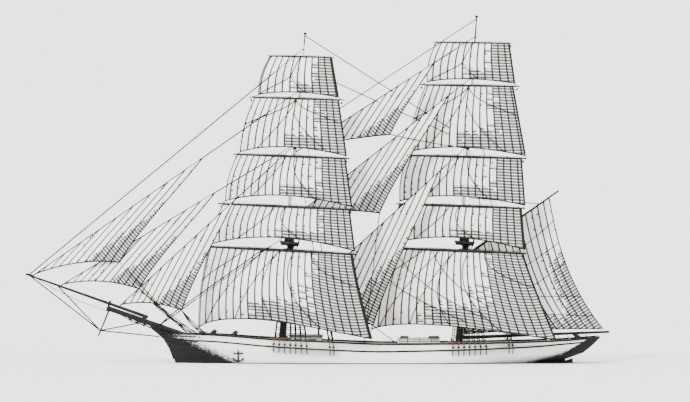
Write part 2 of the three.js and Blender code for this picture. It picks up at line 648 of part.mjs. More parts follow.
function bulwarks() {
	const wall = cut(
		sideBand([[RAIL_LEVEL, raised(0)], [1.5, raised(0)], [DECK_LEVEL, raised(FIT)]]),
		sideBand([[RAIL_LEVEL, raised(50)], [1.5, raised(0)], [DECK_LEVEL, raised(-50)]],
			{ inset: BULWARK.thickness, foreCut: BULWARK.bowInset, aftCut: BULWARK.thickness }),
	);
	const { overhang, thickness, overlap } = RAIL;
	const rail = cut(
		sideBand([[RAIL_LEVEL, raised(thickness)], [RAIL_LEVEL, raised(-overlap)]], { inset: -overhang }),
		sideBand([[RAIL_LEVEL, raised(thickness + 50)], [RAIL_LEVEL, raised(-overlap - 50)]],
			{ inset: BULWARK.thickness + overhang, foreCut: BULWARK.bowInset, aftCut: BULWARK.thickness + overhang }),
	);
	const waleLift = (offset) => (x) => offset - along(WALE_DROP, x);
	const wale = cut(
		sideBand([[RAIL_LEVEL, waleLift(WALE.depth / 2)], [RAIL_LEVEL, waleLift(-WALE.depth / 2)]],
			{ inset: -WALE.proud, foreCut: WALE.foreCut, aftCut: WALE.aftCut }),
		sideBand([[RAIL_LEVEL, waleLift(WALE.depth)], [RAIL_LEVEL, waleLift(-WALE.depth)]],
			{ inset: BULWARK.thickness / 2, foreCut: WALE.foreCut - WALE.overrun, aftCut: WALE.aftCut - WALE.overrun }),
	);
	const band = join(wall, rail, wale);
	const port = join(band, channel(FOREMAST), channel(MAINMAST), anchorOnCathead());
	const portHalf = port.intersect(solid(block([-BOX_LIMIT, FIT / 2, -BOX_LIMIT], [BOX_LIMIT, BOX_LIMIT, BOX_LIMIT])));
	const starboardHalf = placed(portHalf, new THREE.Matrix4().makeScale(1, -1, 1));
	return [portHalf, starboardHalf].map((half) => cut(half, kneePlate(FIT), bowspritTool, hullLifted));
}

// The lower shrouds of one mast, made fast to a bolster under its top
function shrouds(mast) {
	const { radius, count, spread, sides } = SHROUD;
	const { height, halfLength, halfWidth, halfHeight } = BOLSTER;
	const ropes = [];
	for (let i = 0; i < count; i++) {
		const aft = LOWER_MAST_AFT + (i - (count - 1) / 2) * spread;
		for (const side of [1, -1]) {
			const from = onMast(mast, -aft, side * (halfWidth - radius * 2), height);
			ropes.push(footed(from, shroudFoot(mast, i), side, radius, sides));
		}
	}
	const bolster = block([-LOWER_MAST_AFT - halfLength, -halfWidth, height - halfHeight],
		[-LOWER_MAST_AFT + halfLength, halfWidth, height + halfHeight]);
	const matrix = mastMatrix(mast);
	return cut(join(placed(bolster, matrix), ...ropes), placed(lowerStick(mast, FIT), matrix));
}

// A rope that ends on a channel, its foot cut level
function footed(from, [x, y, z], side, radius, sides = SHROUD.sides) {
	const foot = [x, side * y, z];
	const beyond = from.map((value, axis) => between(value, foot[axis], 1 + 0.004));
	const ground = block([x - 100, side * y - 100, z - 200], [x + 100, side * y + 100, z]);
	return cut(rope(from, beyond, radius, sides), ground);
}

// A mast's two backstays from a height on it to the channels
function backstays(mast, height, { aft, radius }) {
	const quarter = (mastPartAt(mast, height) + COLLAR.ropeAt) * Math.SQRT1_2;
	return [1, -1].map((side) => footed(onMast(mast, -quarter, side * quarter, height),
		channelPoint(mast.x - aft), side, radius));
}

const stayHeight = (yard) => yard.height + yard.stay;

// Deck pieces

function deckhouse() {
	const { aft, fore, halfWidth, wall, low, top, windows, doorway } = HOUSE;
	const inside = block([aft + wall, wall - halfWidth, low - 1], [fore - wall, halfWidth - wall, top + 1]);
	const panes = windows.x.map((x) => block(
		[x - windows.width / 2, -halfWidth - 1, windows.low], [x + windows.width / 2, halfWidth + 1, windows.high]));
	const door = block([aft - 1, -doorway.halfWidth, doorway.low], [aft + wall + 1, doorway.halfWidth, doorway.high]);
	const bore = (DOOR.pin + FIT) / Math.cos(Math.PI / DOOR.pinSides);
	const sockets = cylinder(bore, doorway.low - DOOR.pinReach - 1, doorway.high + DOOR.pinReach + 1,
		DOOR.pinSides, 180 / DOOR.pinSides).translate(...doorAxis());
	return cut(block([aft, -halfWidth, low], [fore, halfWidth, top]), inside, ...panes, door, sockets, hullLifted);
}

const doorAxis = () => [
	HOUSE.aft + HOUSE.wall / 2, HOUSE.doorway.halfWidth - DOOR.hingeGap - DOOR.edge, 0,
];

function deckhouseRoof() {
	const { aft, fore, halfWidth, top, roof } = HOUSE;
	const [out, low] = [halfWidth + roof.overhang, top + FIT];
	const section = [[-out, low], [out, low], [out, low + roof.thickness * 0.6], [0, low + roof.thickness],
		[-out, low + roof.thickness * 0.6]];
	const length = fore - aft + 2 * roof.overhang;
	return plate(section, 0, length).rotateX(Math.PI / 2).rotateZ(Math.PI / 2)
		.translate(aft - roof.overhang, 0, 0);
}

function deckhouseDoor() {
	const { low, high, halfWidth } = HOUSE.doorway;
	const [x, y] = doorAxis();
	const slab = block([x - DOOR.thickness / 2, DOOR.gap - halfWidth, low + DOOR.gap],
		[x + DOOR.thickness / 2, y + DOOR.edge, high - DOOR.gap]);
	return join(slab, cylinder(DOOR.pin, low - DOOR.pinReach, high + DOOR.pinReach, DOOR.pinSides).translate(x, y, 0));
}

function boat() {
	const { gunwale, crown, rake } = BOAT;
	const rings = BOAT_STATIONS.map(([x, half, keel], i) => {
		const lean = i === 0 ? rake : 0;
		const depth = gunwale - keel;
		const side = [
			[x - lean, Math.min(30, half / 2), gunwale + crown], [x - lean, half, gunwale],
			[x - lean * 0.6, half * 0.93, gunwale - depth * 0.45], [x - lean * 0.2, half * 0.6, keel + depth * 0.16],
			[x, Math.min(35, half / 2), keel],
		];
		return [...side, ...side.map(mirrored).reverse()];
	});
	return loft(rings, ladder(rings[0].length));
}

function hatchWithChocks() {
	const coaming = block([HATCH.aft, -HATCH.halfWidth, HATCH.low], [HATCH.fore, HATCH.halfWidth, HATCH.top]);
	const chocks = CHOCKS.x.map((x) => block(
		[x - CHOCKS.halfLength, -CHOCKS.halfWidth, HATCH.top - 10], [x + CHOCKS.halfLength, CHOCKS.halfWidth, CHOCKS.top]));
	return cut(join(coaming, ...chocks), lifted(boat(), -FIT), hullLifted);
}

// A long low box with a ridge along the ship
function gabled({ aft, fore, halfWidth, low, wall, ridge }) {
	const section = [[-halfWidth, low], [halfWidth, low], [halfWidth, wall], [0, ridge], [-halfWidth, wall]];
	return plate(section, 0, fore - aft).rotateX(Math.PI / 2).rotateZ(Math.PI / 2).translate(aft, 0, 0);
}

function windlass() {
	const { x, height, radius, halfLength, bitt: [deep, wide], bittAt, low } = WINDLASS;
	const barrel = bar([x, -halfLength, height], [x, halfLength, height], radius, radius, 10);
	const post = (y) => block([x - deep, y - wide, low], [x + deep, y + wide, height + 240]);
	const heelPost = block([x + 650, -wide * 1.6, low], [x + 930, wide * 1.6, 1700]);
	const beam = block([x, -wide * 0.6, height - 80], [x + 700, wide * 0.6, height + 60]);
	return cut(join(barrel, post(bittAt), post(-bittAt), heelPost, beam), bowspritTool, hullLifted);
}

function wheelBox() {
	const bore = (WHEEL.axle + FIT) / Math.cos(Math.PI / WHEEL.sides);
	const hole = cylinder(bore, 0, WHEEL.axleReach + 100, WHEEL.sides, 180 / WHEEL.sides)
		.rotateY(Math.PI / 2).translate(WHEEL.x - 50, 0, WHEEL.height);
	return cut(gabled(WHEEL_BOX), hole, hullLifted);
}

function steeringWheel() {
	const { x, height, rim, rimThick, spoke, spokeThick, spokes, hub, hubHalf, axle, axleReach, sides } = WHEEL;
	const ringProfile = [[rim - rimThick, -rimThick], [rim + rimThick, -rimThick], [rim + rimThick, rimThick],
		[rim - rimThick, rimThick], [rim - rimThick, -rimThick]];
	const shapes = [
		turned(ringProfile, sides), cylinder(hub, -hubHalf, hubHalf, sides), cylinder(axle, -hubHalf, axleReach, sides),
	];
	for (let i = 0; i < spokes / 2; i++) {
		const angle = Math.PI * i / (spokes / 2);
		const tip = [spoke * Math.cos(angle), spoke * Math.sin(angle), 0];
		shapes.push(bar(tip.map((value) => -value), tip, spokeThick, spokeThick, 4));
	}
	return placed(join(...shapes), new THREE.Matrix4().makeTranslation(x, 0, height)
		.multiply(new THREE.Matrix4().makeRotationY(Math.PI / 2)));
}

function rudder() {
	const blade = uprightPlate(RUDDER.outline, RUDDER.thickness);
	const stock = cylinder(RUDDER.stockRadius, RUDDER.heelZ, RUDDER.stockTop, RUDDER.sides);
	return join(blade, stock.translate(RUDDER.axisX, 0, 0));
}

// Spars and stays ahead of the bow

function martingale() {
	const { top, foot, topRadius, footRadius } = STRIKER;
	const low = [foot[0] - 130, 0, foot[2] + 370];
	return cut(join(
		bar(top, foot, topRadius, footRadius, 8),
		rope([22900, 0, 5830], low, STAY_RADIUS), rope([21070, 0, 5182], low, STAY_RADIUS),
		rope([15130, 0, 2745], low, STAY_RADIUS), rope([14250, 0, 1750], low, STAY_RADIUS),
	), bowspritTool, jibboomBar(FIT), lifted(kneePlate(FIT), 0));
}

// A stay from a mast down to a point, with its collar at the mast
function stay(mast, height, end) {
	return { mast, height, from: onMast(mast, mastPartAt(mast, height) + COLLAR.ropeAt, 0, height), to: end };
}

// The cleat on top of the jibboom's end where its two highest stays are made fast
const jibboomCleat = () => block([-220, -45, 20], [220, 45, 110]).rotateY(-steeve).translate(22840, 0, 5808);

// Stays with the collars they leave the masts from; each collar is a mast, its middle height and its height
function stayRopes({ stays, collars, others = [] }, ...tools) {
	const bands = collars.map(([mast, height, tall = COLLAR.height]) => placed(
		collar(mast, height, 0, { height: tall, wall: COLLAR.wall }), mastMatrix(mast)));
	const ropes = stays.map(({ from, to }) => rope(from, to, STAY_RADIUS));
	const masts = [FOREMAST, MAINMAST].flatMap((mast) =>
		wholeMast(mast).map((stickTool) => placed(stickTool, mastMatrix(mast))));
	return cut(join(...bands, ...ropes, ...others), ...masts, ...tools);
}

const JIB_STAY_RISE = 80; // the jib stay leaves the fore topmast this far above the fore topmast stay
const STAYS = {
	fore: stay(FOREMAST, 8420, [14300, 0, 2452]),
	foreTopmast: stay(FOREMAST, stayHeight(FORE_YARDS[2]), [16950, 0, 3725]),
	jib: stay(FOREMAST, stayHeight(FORE_YARDS[2]) + JIB_STAY_RISE, [20870, 0, 5111]),
	flyingJib: stay(FOREMAST, stayHeight(FORE_YARDS[3]), [22720, 0, 5766]),
	foreRoyal: stay(FOREMAST, stayHeight(FORE_YARDS[4]), [22950, 0, 5847]),
	mainTopmast: stay(MAINMAST, stayHeight(MAIN_YARDS[2]), onMast(FOREMAST, -LOWER_MAST_AFT, 0, 3400)),
	mainTopgallant: stay(MAINMAST, stayHeight(MAIN_YARDS[3]), onMast(FOREMAST, -LOWER_MAST_AFT, 0, 9750)),
	mainRoyal: stay(MAINMAST, stayHeight(MAIN_YARDS[4]), onMast(FOREMAST, 0, 0, 14050)),
};
const HEADSAILS = [
	['fore_topmast_staysail', 'foreTopmast',
		{ tack: 0.985, head: 0.34, clew: [12740, 450, 3520], hollow: 0.05, arch: 300, belly: 330 }],
	['jib', 'jib', { tack: 0.985, head: 0.335, clew: [15570, 480, 4940], hollow: 0.07, arch: 350, belly: 380 }],
	['flying_jib', 'flyingJib', { tack: 0.985, head: 0.36, clew: [16880, 450, 6720], hollow: 0.07, arch: 330, belly: 340 }],
];
const STAYSAILS = [
	['main_topmast_staysail', 'mainTopmast',
		{ tack: 0.97, head: 0.15, clew: [0, 450, 2520], hollow: 0.05, arch: 250, belly: 380 }],
	['main_topgallant_staysail', 'mainTopgallant',
		{ tack: 0.96, head: 0.13, clew: [-430, 420, 9990], hollow: 0.06, arch: 150, belly: 320 }],
	['main_royal_staysail', 'mainRoyal',
		{ tack: 0.96, head: 0.225, clew: [-1130, 380, 15220], hollow: 0.04, arch: 100, belly: 280 }],
];

function sailOnStay(key, form) {
	return cut(staySail(STAYS[key], form), rope(STAYS[key].from, STAYS[key].to, STAY_RADIUS + FIT * 1.2));
}

// Spanker: boom, gaff and sail in a frame whose z axis is the lower mast

function sparWithJaws(mast, { height, end, radius, endRadius }) {
	const low = height - PARREL.height / 2;
	const high = height + PARREL.height / 2;
	const mastRadius = radiusAt(mast.lower, mast.foot, low);
	const bore = cylinder((mastRadius + FIT) / Math.cos(Math.PI / MAST_SIDES), low - 500, high + 500,
		MAST_SIDES, SPANKER.swing + HALF_FACET);
	return cut(join(bar([0, 0, height], end, radius, endRadius, 10),
		ring(mastRadius, low, high, PARREL.wall, SPANKER.swing)), bore);
}

function spankerSail() {
	const { tack, clew, throat, peak, hollow, arch, belly } = SPANKER_SAIL;
	const onGaff = (t) => new THREE.Vector3(0, 0, GAFF.height).lerp(new THREE.Vector3(...GAFF.end), t);
	const point = (u, v) => {
		const luff = new THREE.Vector3(...tack).lerp(onGaff(throat), v);
		const leech = new THREE.Vector3(...clew).lerp(onGaff(peak), v);
		leech.lerp(luff, hollow * 4 * v * (1 - v));
		const middle = luff.lerp(leech, u);
		middle.y += belly * 4 * u * (1 - u) * (1 - v ** 3);
		middle.z += arch * 4 * u * (1 - u) * (1 - v) ** 3;
		return middle;
	};
	const gaffTool = bar([0, 0, GAFF.height], GAFF.end, GAFF.radius, GAFF.endRadius, 10, FIT);
	return cut(sheet(point, SAIL.columns, SAIL.rows, SAIL.thickness), gaffTool);
}

// Assembly

const ship = new THREE.Group();
const bulwarkPair = bulwarks();

piece(ship, 'hull', hullSolid, HULL_WHITE);
piece(ship, 'bulwark_port', bulwarkPair[0], HULL_WHITE);
piece(ship, 'bulwark_starboard', bulwarkPair[1], HULL_WHITE);
piece(ship, 'bowsprit', bowspritSolid, BLACK_PAINT);
piece(ship, 'jibboom', jibboomBar(0), BLACK_PAINT);
piece(ship, 'martingale', martingale(), BLACK_PAINT);
piece(ship, 'deckhouse', deckhouse(), DECK_HOUSE);
piece(ship, 'deckhouse_roof', deckhouseRoof(), BLACK_PAINT);
piece(ship, 'deckhouse_door', deckhouseDoor(), BLACK_PAINT);
piece(ship, 'main_hatch', hatchWithChocks(), DECK_HOUSE);
piece(ship, 'ships_boat', boat(), HULL_WHITE);
piece(ship, 'cabin_skylight', cut(gabled(SKYLIGHT), hullLifted), DECK_HOUSE);
piece(ship, 'windlass', windlass(), BLACK_PAINT);
piece(ship, 'wheel_box', wheelBox(), DECK_HOUSE);
piece(ship, 'steering_wheel', steeringWheel(), BLACK_PAINT);
piece(ship, 'rudder', rudder(), BLACK_PAINT);

for (const [mast, yards] of [[FOREMAST, FORE_YARDS], [MAINMAST, MAIN_YARDS]]) {
	const frame = new THREE.Group();
	frame.position.set(mast.x, 0, 0);
	frame.rotation.y = mastTilt(mast);
	ship.add(frame);
	piece(frame, `${mast.name}_lower_mast`, lowerMast(mast, yards[0]), BLACK_PAINT);
	piece(frame, `${mast.name}_topmast`, topmast(mast), BLACK_PAINT);
	piece(frame, `${mast.name}_topgallant_mast`, topgallantMast(mast), BLACK_PAINT);
	for (const yard of yards) {
		const braced = new THREE.Group();
		braced.position.z = yard.height;
		braced.rotation.z = BRACE * DEGREE;
		frame.add(braced);
		piece(braced, `${mast.name}_${yard.name}_yard`, yardWithTruss(mast, yard), BLACK_PAINT);
		piece(braced, `${mast.name}_${yard.name}`, squareSail(mast, yard), CANVAS);
	}
	piece(ship, `${mast.name}_shrouds`, shrouds(mast), TARRED_ROPE);
}

const topmastStays = (mast, yards) => backstays(mast, stayHeight(yards[2]), BACKSTAYS.topmast);
const topgallantStays = (mast, yards) => backstays(mast, stayHeight(yards[3]), BACKSTAYS.topgallant);
const STAY_NODES = {
	fore_stay: [{ stays: [STAYS.fore], collars: [[FOREMAST, STAYS.fore.height]] }, bowspritTool],
	fore_topmast_stays: [{
		stays: [STAYS.foreTopmast, STAYS.jib],
		collars: [[FOREMAST, STAYS.foreTopmast.height + JIB_STAY_RISE / 2, COLLAR.height + JIB_STAY_RISE]],
		others: topmastStays(FOREMAST, FORE_YARDS),
	}, bowspritTool, jibboomBar(FIT)],
	fore_topgallant_stays: [{
		stays: [STAYS.flyingJib, STAYS.foreRoyal],
		collars: [[FOREMAST, STAYS.flyingJib.height], [FOREMAST, STAYS.foreRoyal.height]],
		others: [jibboomCleat(), ...topgallantStays(FOREMAST, FORE_YARDS)],
	}, jibboomBar(FIT)],
	main_topmast_stays: [{
		stays: [STAYS.mainTopmast], collars: [[MAINMAST, STAYS.mainTopmast.height]],
		others: topmastStays(MAINMAST, MAIN_YARDS),
	}],
	main_topgallant_stays: [{
		stays: [STAYS.mainTopgallant], collars: [[MAINMAST, STAYS.mainTopgallant.height]],
		others: topgallantStays(MAINMAST, MAIN_YARDS),
	}],
	main_royal_stay: [{ stays: [STAYS.mainRoyal], collars: [[MAINMAST, STAYS.mainRoyal.height]] }],
};
for (const [name, form] of Object.entries(STAY_NODES)) piece(ship, name, stayRopes(...form), TARRED_ROPE);
for (const [name, key, form] of [...HEADSAILS, ...STAYSAILS]) piece(ship, name, sailOnStay(key, form), CANVAS);

const spankerFrame = new THREE.Group();
spankerFrame.position.set(...onMast(MAINMAST, -LOWER_MAST_AFT, 0, 0));
spankerFrame.rotation.y = mastTilt(MAINMAST);
const swung = new THREE.Group();
swung.rotation.z = -SPANKER.swing * DEGREE;
spankerFrame.add(swung);
ship.add(spankerFrame);
piece(swung, 'spanker_boom', sparWithJaws(MAINMAST, BOOM), BLACK_PAINT);
piece(swung, 'spanker_gaff', sparWithJaws(MAINMAST, GAFF), BLACK_PAINT);
piece(swung, 'spanker', spankerSail(), CANVAS);

export default ship;
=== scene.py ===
"""A two-masted square-rigged sailing ship under full sail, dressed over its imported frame."""

import bisect
import logging
import math
from collections.abc import Callable, Iterable, Sequence
from dataclasses import dataclass, field
from enum import Enum

import bmesh
import bpy
from mathutils import Matrix, Vector
from mathutils.bvhtree import BVHTree


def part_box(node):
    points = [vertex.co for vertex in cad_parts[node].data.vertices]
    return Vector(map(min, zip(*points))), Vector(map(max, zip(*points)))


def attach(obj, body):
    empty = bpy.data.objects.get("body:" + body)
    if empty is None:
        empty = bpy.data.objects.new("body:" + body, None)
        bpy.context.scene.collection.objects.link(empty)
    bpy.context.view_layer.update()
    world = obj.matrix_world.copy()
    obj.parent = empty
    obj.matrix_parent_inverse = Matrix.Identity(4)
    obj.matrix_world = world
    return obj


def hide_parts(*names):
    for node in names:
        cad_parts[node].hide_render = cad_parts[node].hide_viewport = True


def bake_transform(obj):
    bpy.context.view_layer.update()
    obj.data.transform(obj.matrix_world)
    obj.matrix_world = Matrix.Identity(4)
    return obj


log = logging.getLogger("ship")

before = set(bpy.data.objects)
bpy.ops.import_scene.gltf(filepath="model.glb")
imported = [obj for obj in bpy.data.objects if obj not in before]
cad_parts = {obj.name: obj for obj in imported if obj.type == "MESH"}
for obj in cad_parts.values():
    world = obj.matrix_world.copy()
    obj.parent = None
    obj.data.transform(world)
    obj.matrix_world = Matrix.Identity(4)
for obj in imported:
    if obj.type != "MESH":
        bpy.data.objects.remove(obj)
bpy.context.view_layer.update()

Point = tuple[float, float, float]
Line = list[Vector]
Material = bpy.types.Material

BRACE = math.radians(48)
SPANKER_SWING = math.radians(-12)
LOWER_MAST_AFT = 0.34
CLOTH_WIDTH = 0.61
CLOTH_THICKNESS = 0.006
TOP_HEIGHT = 8.09
CROSSTREES = 14.76
LOWER_MAST_LENGTH = 10.26
SEWING = 1.01
SIDES = (1, -1)
UP = Vector((0, 0, 1))


class Body(Enum):
    """The bodies of the frame that pieces ride on."""

    SHIP = "ship"
    FORE_YARDS = "fore_yards"
    MAIN_YARDS = "main_yards"
    SPANKER = "spanker"
    DOOR = "deckhouse_door"


class Slot(Enum):
    """The record's material slots."""

    BULWARK = "bulwark_paint"
    SPAR = "black_spar_paint"
    JOINERY = "deck_joinery"
    DARK = "dark_joinery"
    CANVAS = "sail_canvas"
    ROPE = "tarred_rope"


def mix(a: float, b: float, t: float) -> float:
    """Return the value a share t of the way from a to b."""
    return a + (b - a) * t


def step_up(value: float, low: float, high: float) -> float:
    """Return 0 below low, 1 above high and a smooth rise between them."""
    t = min(max((value - low) / (high - low), 0.0), 1.0)
    return t * t * (3 - 2 * t)


# Rail height, and the wale's depth below it, along the ship
SHEER = [(-15.05, 1.71), (-12.5, 1.51), (-7.6, 1.36), (-3.0, 1.295), (0.0, 1.3), (3.2, 1.45), (6.9, 1.61),
         (10.5, 1.87), (14.4, 1.95)]
WALE_DROP = [(-15.05, 0.19), (-12.65, 0.21), (-10.8, 0.3), (-4.6, 0.41), (3.2, 0.5), (6.9, 0.45), (14.4, 0.38)]


def along(table: Sequence[tuple[float, float]], x: float) -> float:
    """Return the value at x of a smooth curve through a table.

    Args:
        table: rows of place and value.
        x: the place.

    Returns:
        The value.
    """
    last = len(table) - 1
    x = min(max(x, table[0][0]), table[last][0])
    row = min(max(bisect.bisect([place for place, _ in table], x), 1), last) - 1

    def slope(i: int) -> float:
        """Return the curve's slope at a row."""
        a, b = table[max(i - 1, 0)], table[min(i + 1, last)]
        return (b[1] - a[1]) / (b[0] - a[0])

    (x0, y0), (x1, y1) = table[row], table[row + 1]
    width = x1 - x0
    t = (x - x0) / width
    return ((2 * t ** 3 - 3 * t ** 2 + 1) * y0 + (t ** 3 - 2 * t ** 2 + t) * width * slope(row)
            + (3 * t ** 2 - 2 * t ** 3) * y1 + (t ** 3 - t ** 2) * width * slope(row + 1))


# Node trees


def joining(how: str) -> Callable[["Wire", object], "Wire"]:
    """Return an operator that joins a wire and another value by a Math node."""
    return lambda wire, other: wire.nodes.math(how, wire, other)


@dataclass(frozen=True)
class Wire:
    """A node's output that can be reckoned with; a | b is the larger of two masks and a > b makes a mask."""

    nodes: "Nodes"
    socket: bpy.types.NodeSocket

    __add__, __sub__ = joining("ADD"), joining("SUBTRACT")
    __mul__, __truediv__ = joining("MULTIPLY"), joining("DIVIDE")
    __or__, __gt__ = joining("MAXIMUM"), joining("GREATER_THAN")


class Nodes:
    """A node tree with short ways to add and join nodes."""

    def __init__(self, tree: bpy.types.NodeTree) -> None:
        """Keep the tree."""
        self.tree = tree

    def put(self, node: bpy.types.Node, socket: str | int, what: object) -> None:
        """Give an input a plain value, or join another node's output to it.

        Args:
            node: the node that has the input.
            socket: the input's name or place.
            what: the value or output.
        """
        if isinstance(what, Wire):
            self.tree.links.new(what.socket, node.inputs[socket])
        else:
            node.inputs[socket].default_value = what

    def add(self, kind: str, inputs: dict[str | int, object] | None = None, **settings: object) -> bpy.types.Node:
        """Add a node.

        Args:
            kind: the node's type name.
            inputs: plain values and other nodes' outputs, by input.
            settings: the node's own properties.

        Returns:
            The new node.
        """
        node = self.tree.nodes.new(kind)
        for key, value in settings.items():
            setattr(node, key, value)
        for socket, what in (inputs or {}).items():
            self.put(node, socket, what)
        return node

    def wire(self, kind: str, inputs: dict[str | int, object] | None = None, output: str | int = 0,
             **settings: object) -> Wire:
        """Add a node and return one of its outputs."""
        return Wire(self, self.add(kind, inputs, **settings).outputs[output])

    def math(self, how: str, a: object, b: object = 0.0, clamp: bool = False) -> Wire:
        """Return what a Math node makes of two values."""
        return self.wire("ShaderNodeMath", {0: a, 1: b}, operation=how, use_clamp=clamp)


class Group(Nodes):
    """A node group with its two ends placed."""

    def __init__(self, name: str, kind: str, inputs: Iterable[tuple], outputs: Iterable[tuple]) -> None:
        """Start the group.

        Args:
            name: the group's name.
            kind: the type of its tree.
            inputs: name, socket type and any default value of each input.
            outputs: name and socket type of each output.
        """
        super().__init__(bpy.data.node_groups.new(name, kind))
        for way, rows in (("INPUT", inputs), ("OUTPUT", outputs)):
            for label, socket_type, *value in rows:
                socket = self.tree.interface.new_socket(
                    name=label, in_out=way, socket_type="NodeSocket" + socket_type)
                if value:
                    socket.default_value = value[0]
        self.start, self.end = self.add("NodeGroupInput"), self.add("NodeGroupOutput")

    def given(self, name: str) -> Wire:
        """Return one of the group's inputs."""
        return Wire(self, self.start.outputs[name])

    def close(self, geometry: Wire) -> None:
        """End a geometry group in Realize Instances and Set Material.

        Args:
            geometry: what the group has built.
        """
        real = self.wire("GeometryNodeRealizeInstances", {0: geometry})
        self.put(self.end, 0, self.wire("GeometryNodeSetMaterial", {
            "Geometry": real, "Material": self.given("Material")}))


def grain_group() -> Group:
    """Build the group of stretched grain that wood, paint, cloth and rope share.

    Returns:
        A group with a 0 to 1 mask of grain and one of slow patches.
    """
    g = Group("Grain", "ShaderNodeTree", [("Vector", "Vector"), ("Scale", "Float", 6.0), ("Patch", "Float", 0.6)],
              [("Grain", "Float"), ("Patches", "Float")])
    for size, detail, mask in (("Scale", 6.0, "Grain"), ("Patch", 3.0, "Patches")):
        g.put(g.end, mask, g.wire("ShaderNodeTexNoise", {
            "Vector": g.given("Vector"), "Scale": g.given(size), "Detail": detail}, "Fac"))
    return g


def stripe_group() -> Group:
    """Build the group of thin lines a set distance apart, for plank seams and cloth seams.

    Returns:
        A group whose mask is 1 on the lines and 0 between them.
    """
    g = Group("Stripes", "ShaderNodeTree",
              [("Distance", "Float", 0.0), ("Spacing", "Float", 0.2), ("Width", "Float", 0.02)], [("Line", "Float")])
    centred = g.math("ABSOLUTE", g.math("FRACT", g.given("Distance") / g.given("Spacing")) - 0.5)
    reach = g.math("SUBTRACT", 0.5, centred) * g.given("Spacing") / g.given("Width")
    g.put(g.end, "Line", g.math("SUBTRACT", 1.0, reach, True))
    return g


def rope_group() -> Group:
    """Build the group that makes every edge chain of a mesh a rope.

    Returns:
        A group with inputs Radius, Sides and Material.
    """
    g = Group("Ropes", "GeometryNodeTree", [
        ("Geometry", "Geometry"), ("Radius", "Float", 0.01), ("Sides", "Int", 5), ("Material", "Material")],
        [("Geometry", "Geometry")])
    circle = g.wire("GeometryNodeCurvePrimitiveCircle", {
        "Resolution": g.given("Sides"), "Radius": g.given("Radius")})
    curve = g.wire("GeometryNodeMeshToCurve", {0: g.given("Geometry")})
    g.close(g.wire("GeometryNodeCurveToMesh", {"Curve": curve, "Profile Curve": circle, "Fill Caps": True}))
    return g


def repeat_group() -> Group:
    """Build the group that puts a small turned piece at every vertex, standing along the attribute lean.

    Returns:
        A group with inputs Radius, Depth, Top, Sides and Material.
    """
    g = Group("Repeats", "GeometryNodeTree", [
        ("Geometry", "Geometry"), ("Radius", "Float", 0.05), ("Depth", "Float", 0.2), ("Top", "Float", 0.05),
        ("Sides", "Int", 8), ("Material", "Material")], [("Geometry", "Geometry")])
    points = g.wire("GeometryNodeMeshToPoints", {0: g.given("Geometry")})
    cone = g.wire("GeometryNodeMeshCone", {
        "Vertices": g.given("Sides"), "Radius Bottom": g.given("Radius"), "Radius Top": g.given("Top"),
        "Depth": g.given("Depth")}, "Mesh")
    lean = g.wire("GeometryNodeInputNamedAttribute", {"Name": "lean"}, "Attribute", data_type="FLOAT_VECTOR")
    turn = g.wire("FunctionNodeAlignRotationToVector", {"Vector": lean}, axis="Z")
    g.close(g.wire("GeometryNodeInstanceOnPoints", {"Points": points, "Instance": cone, "Rotation": turn}))
    return g


GRAIN, STRIPES, ROPES, REPEATS = grain_group(), stripe_group(), rope_group(), repeat_group()


# Finishes


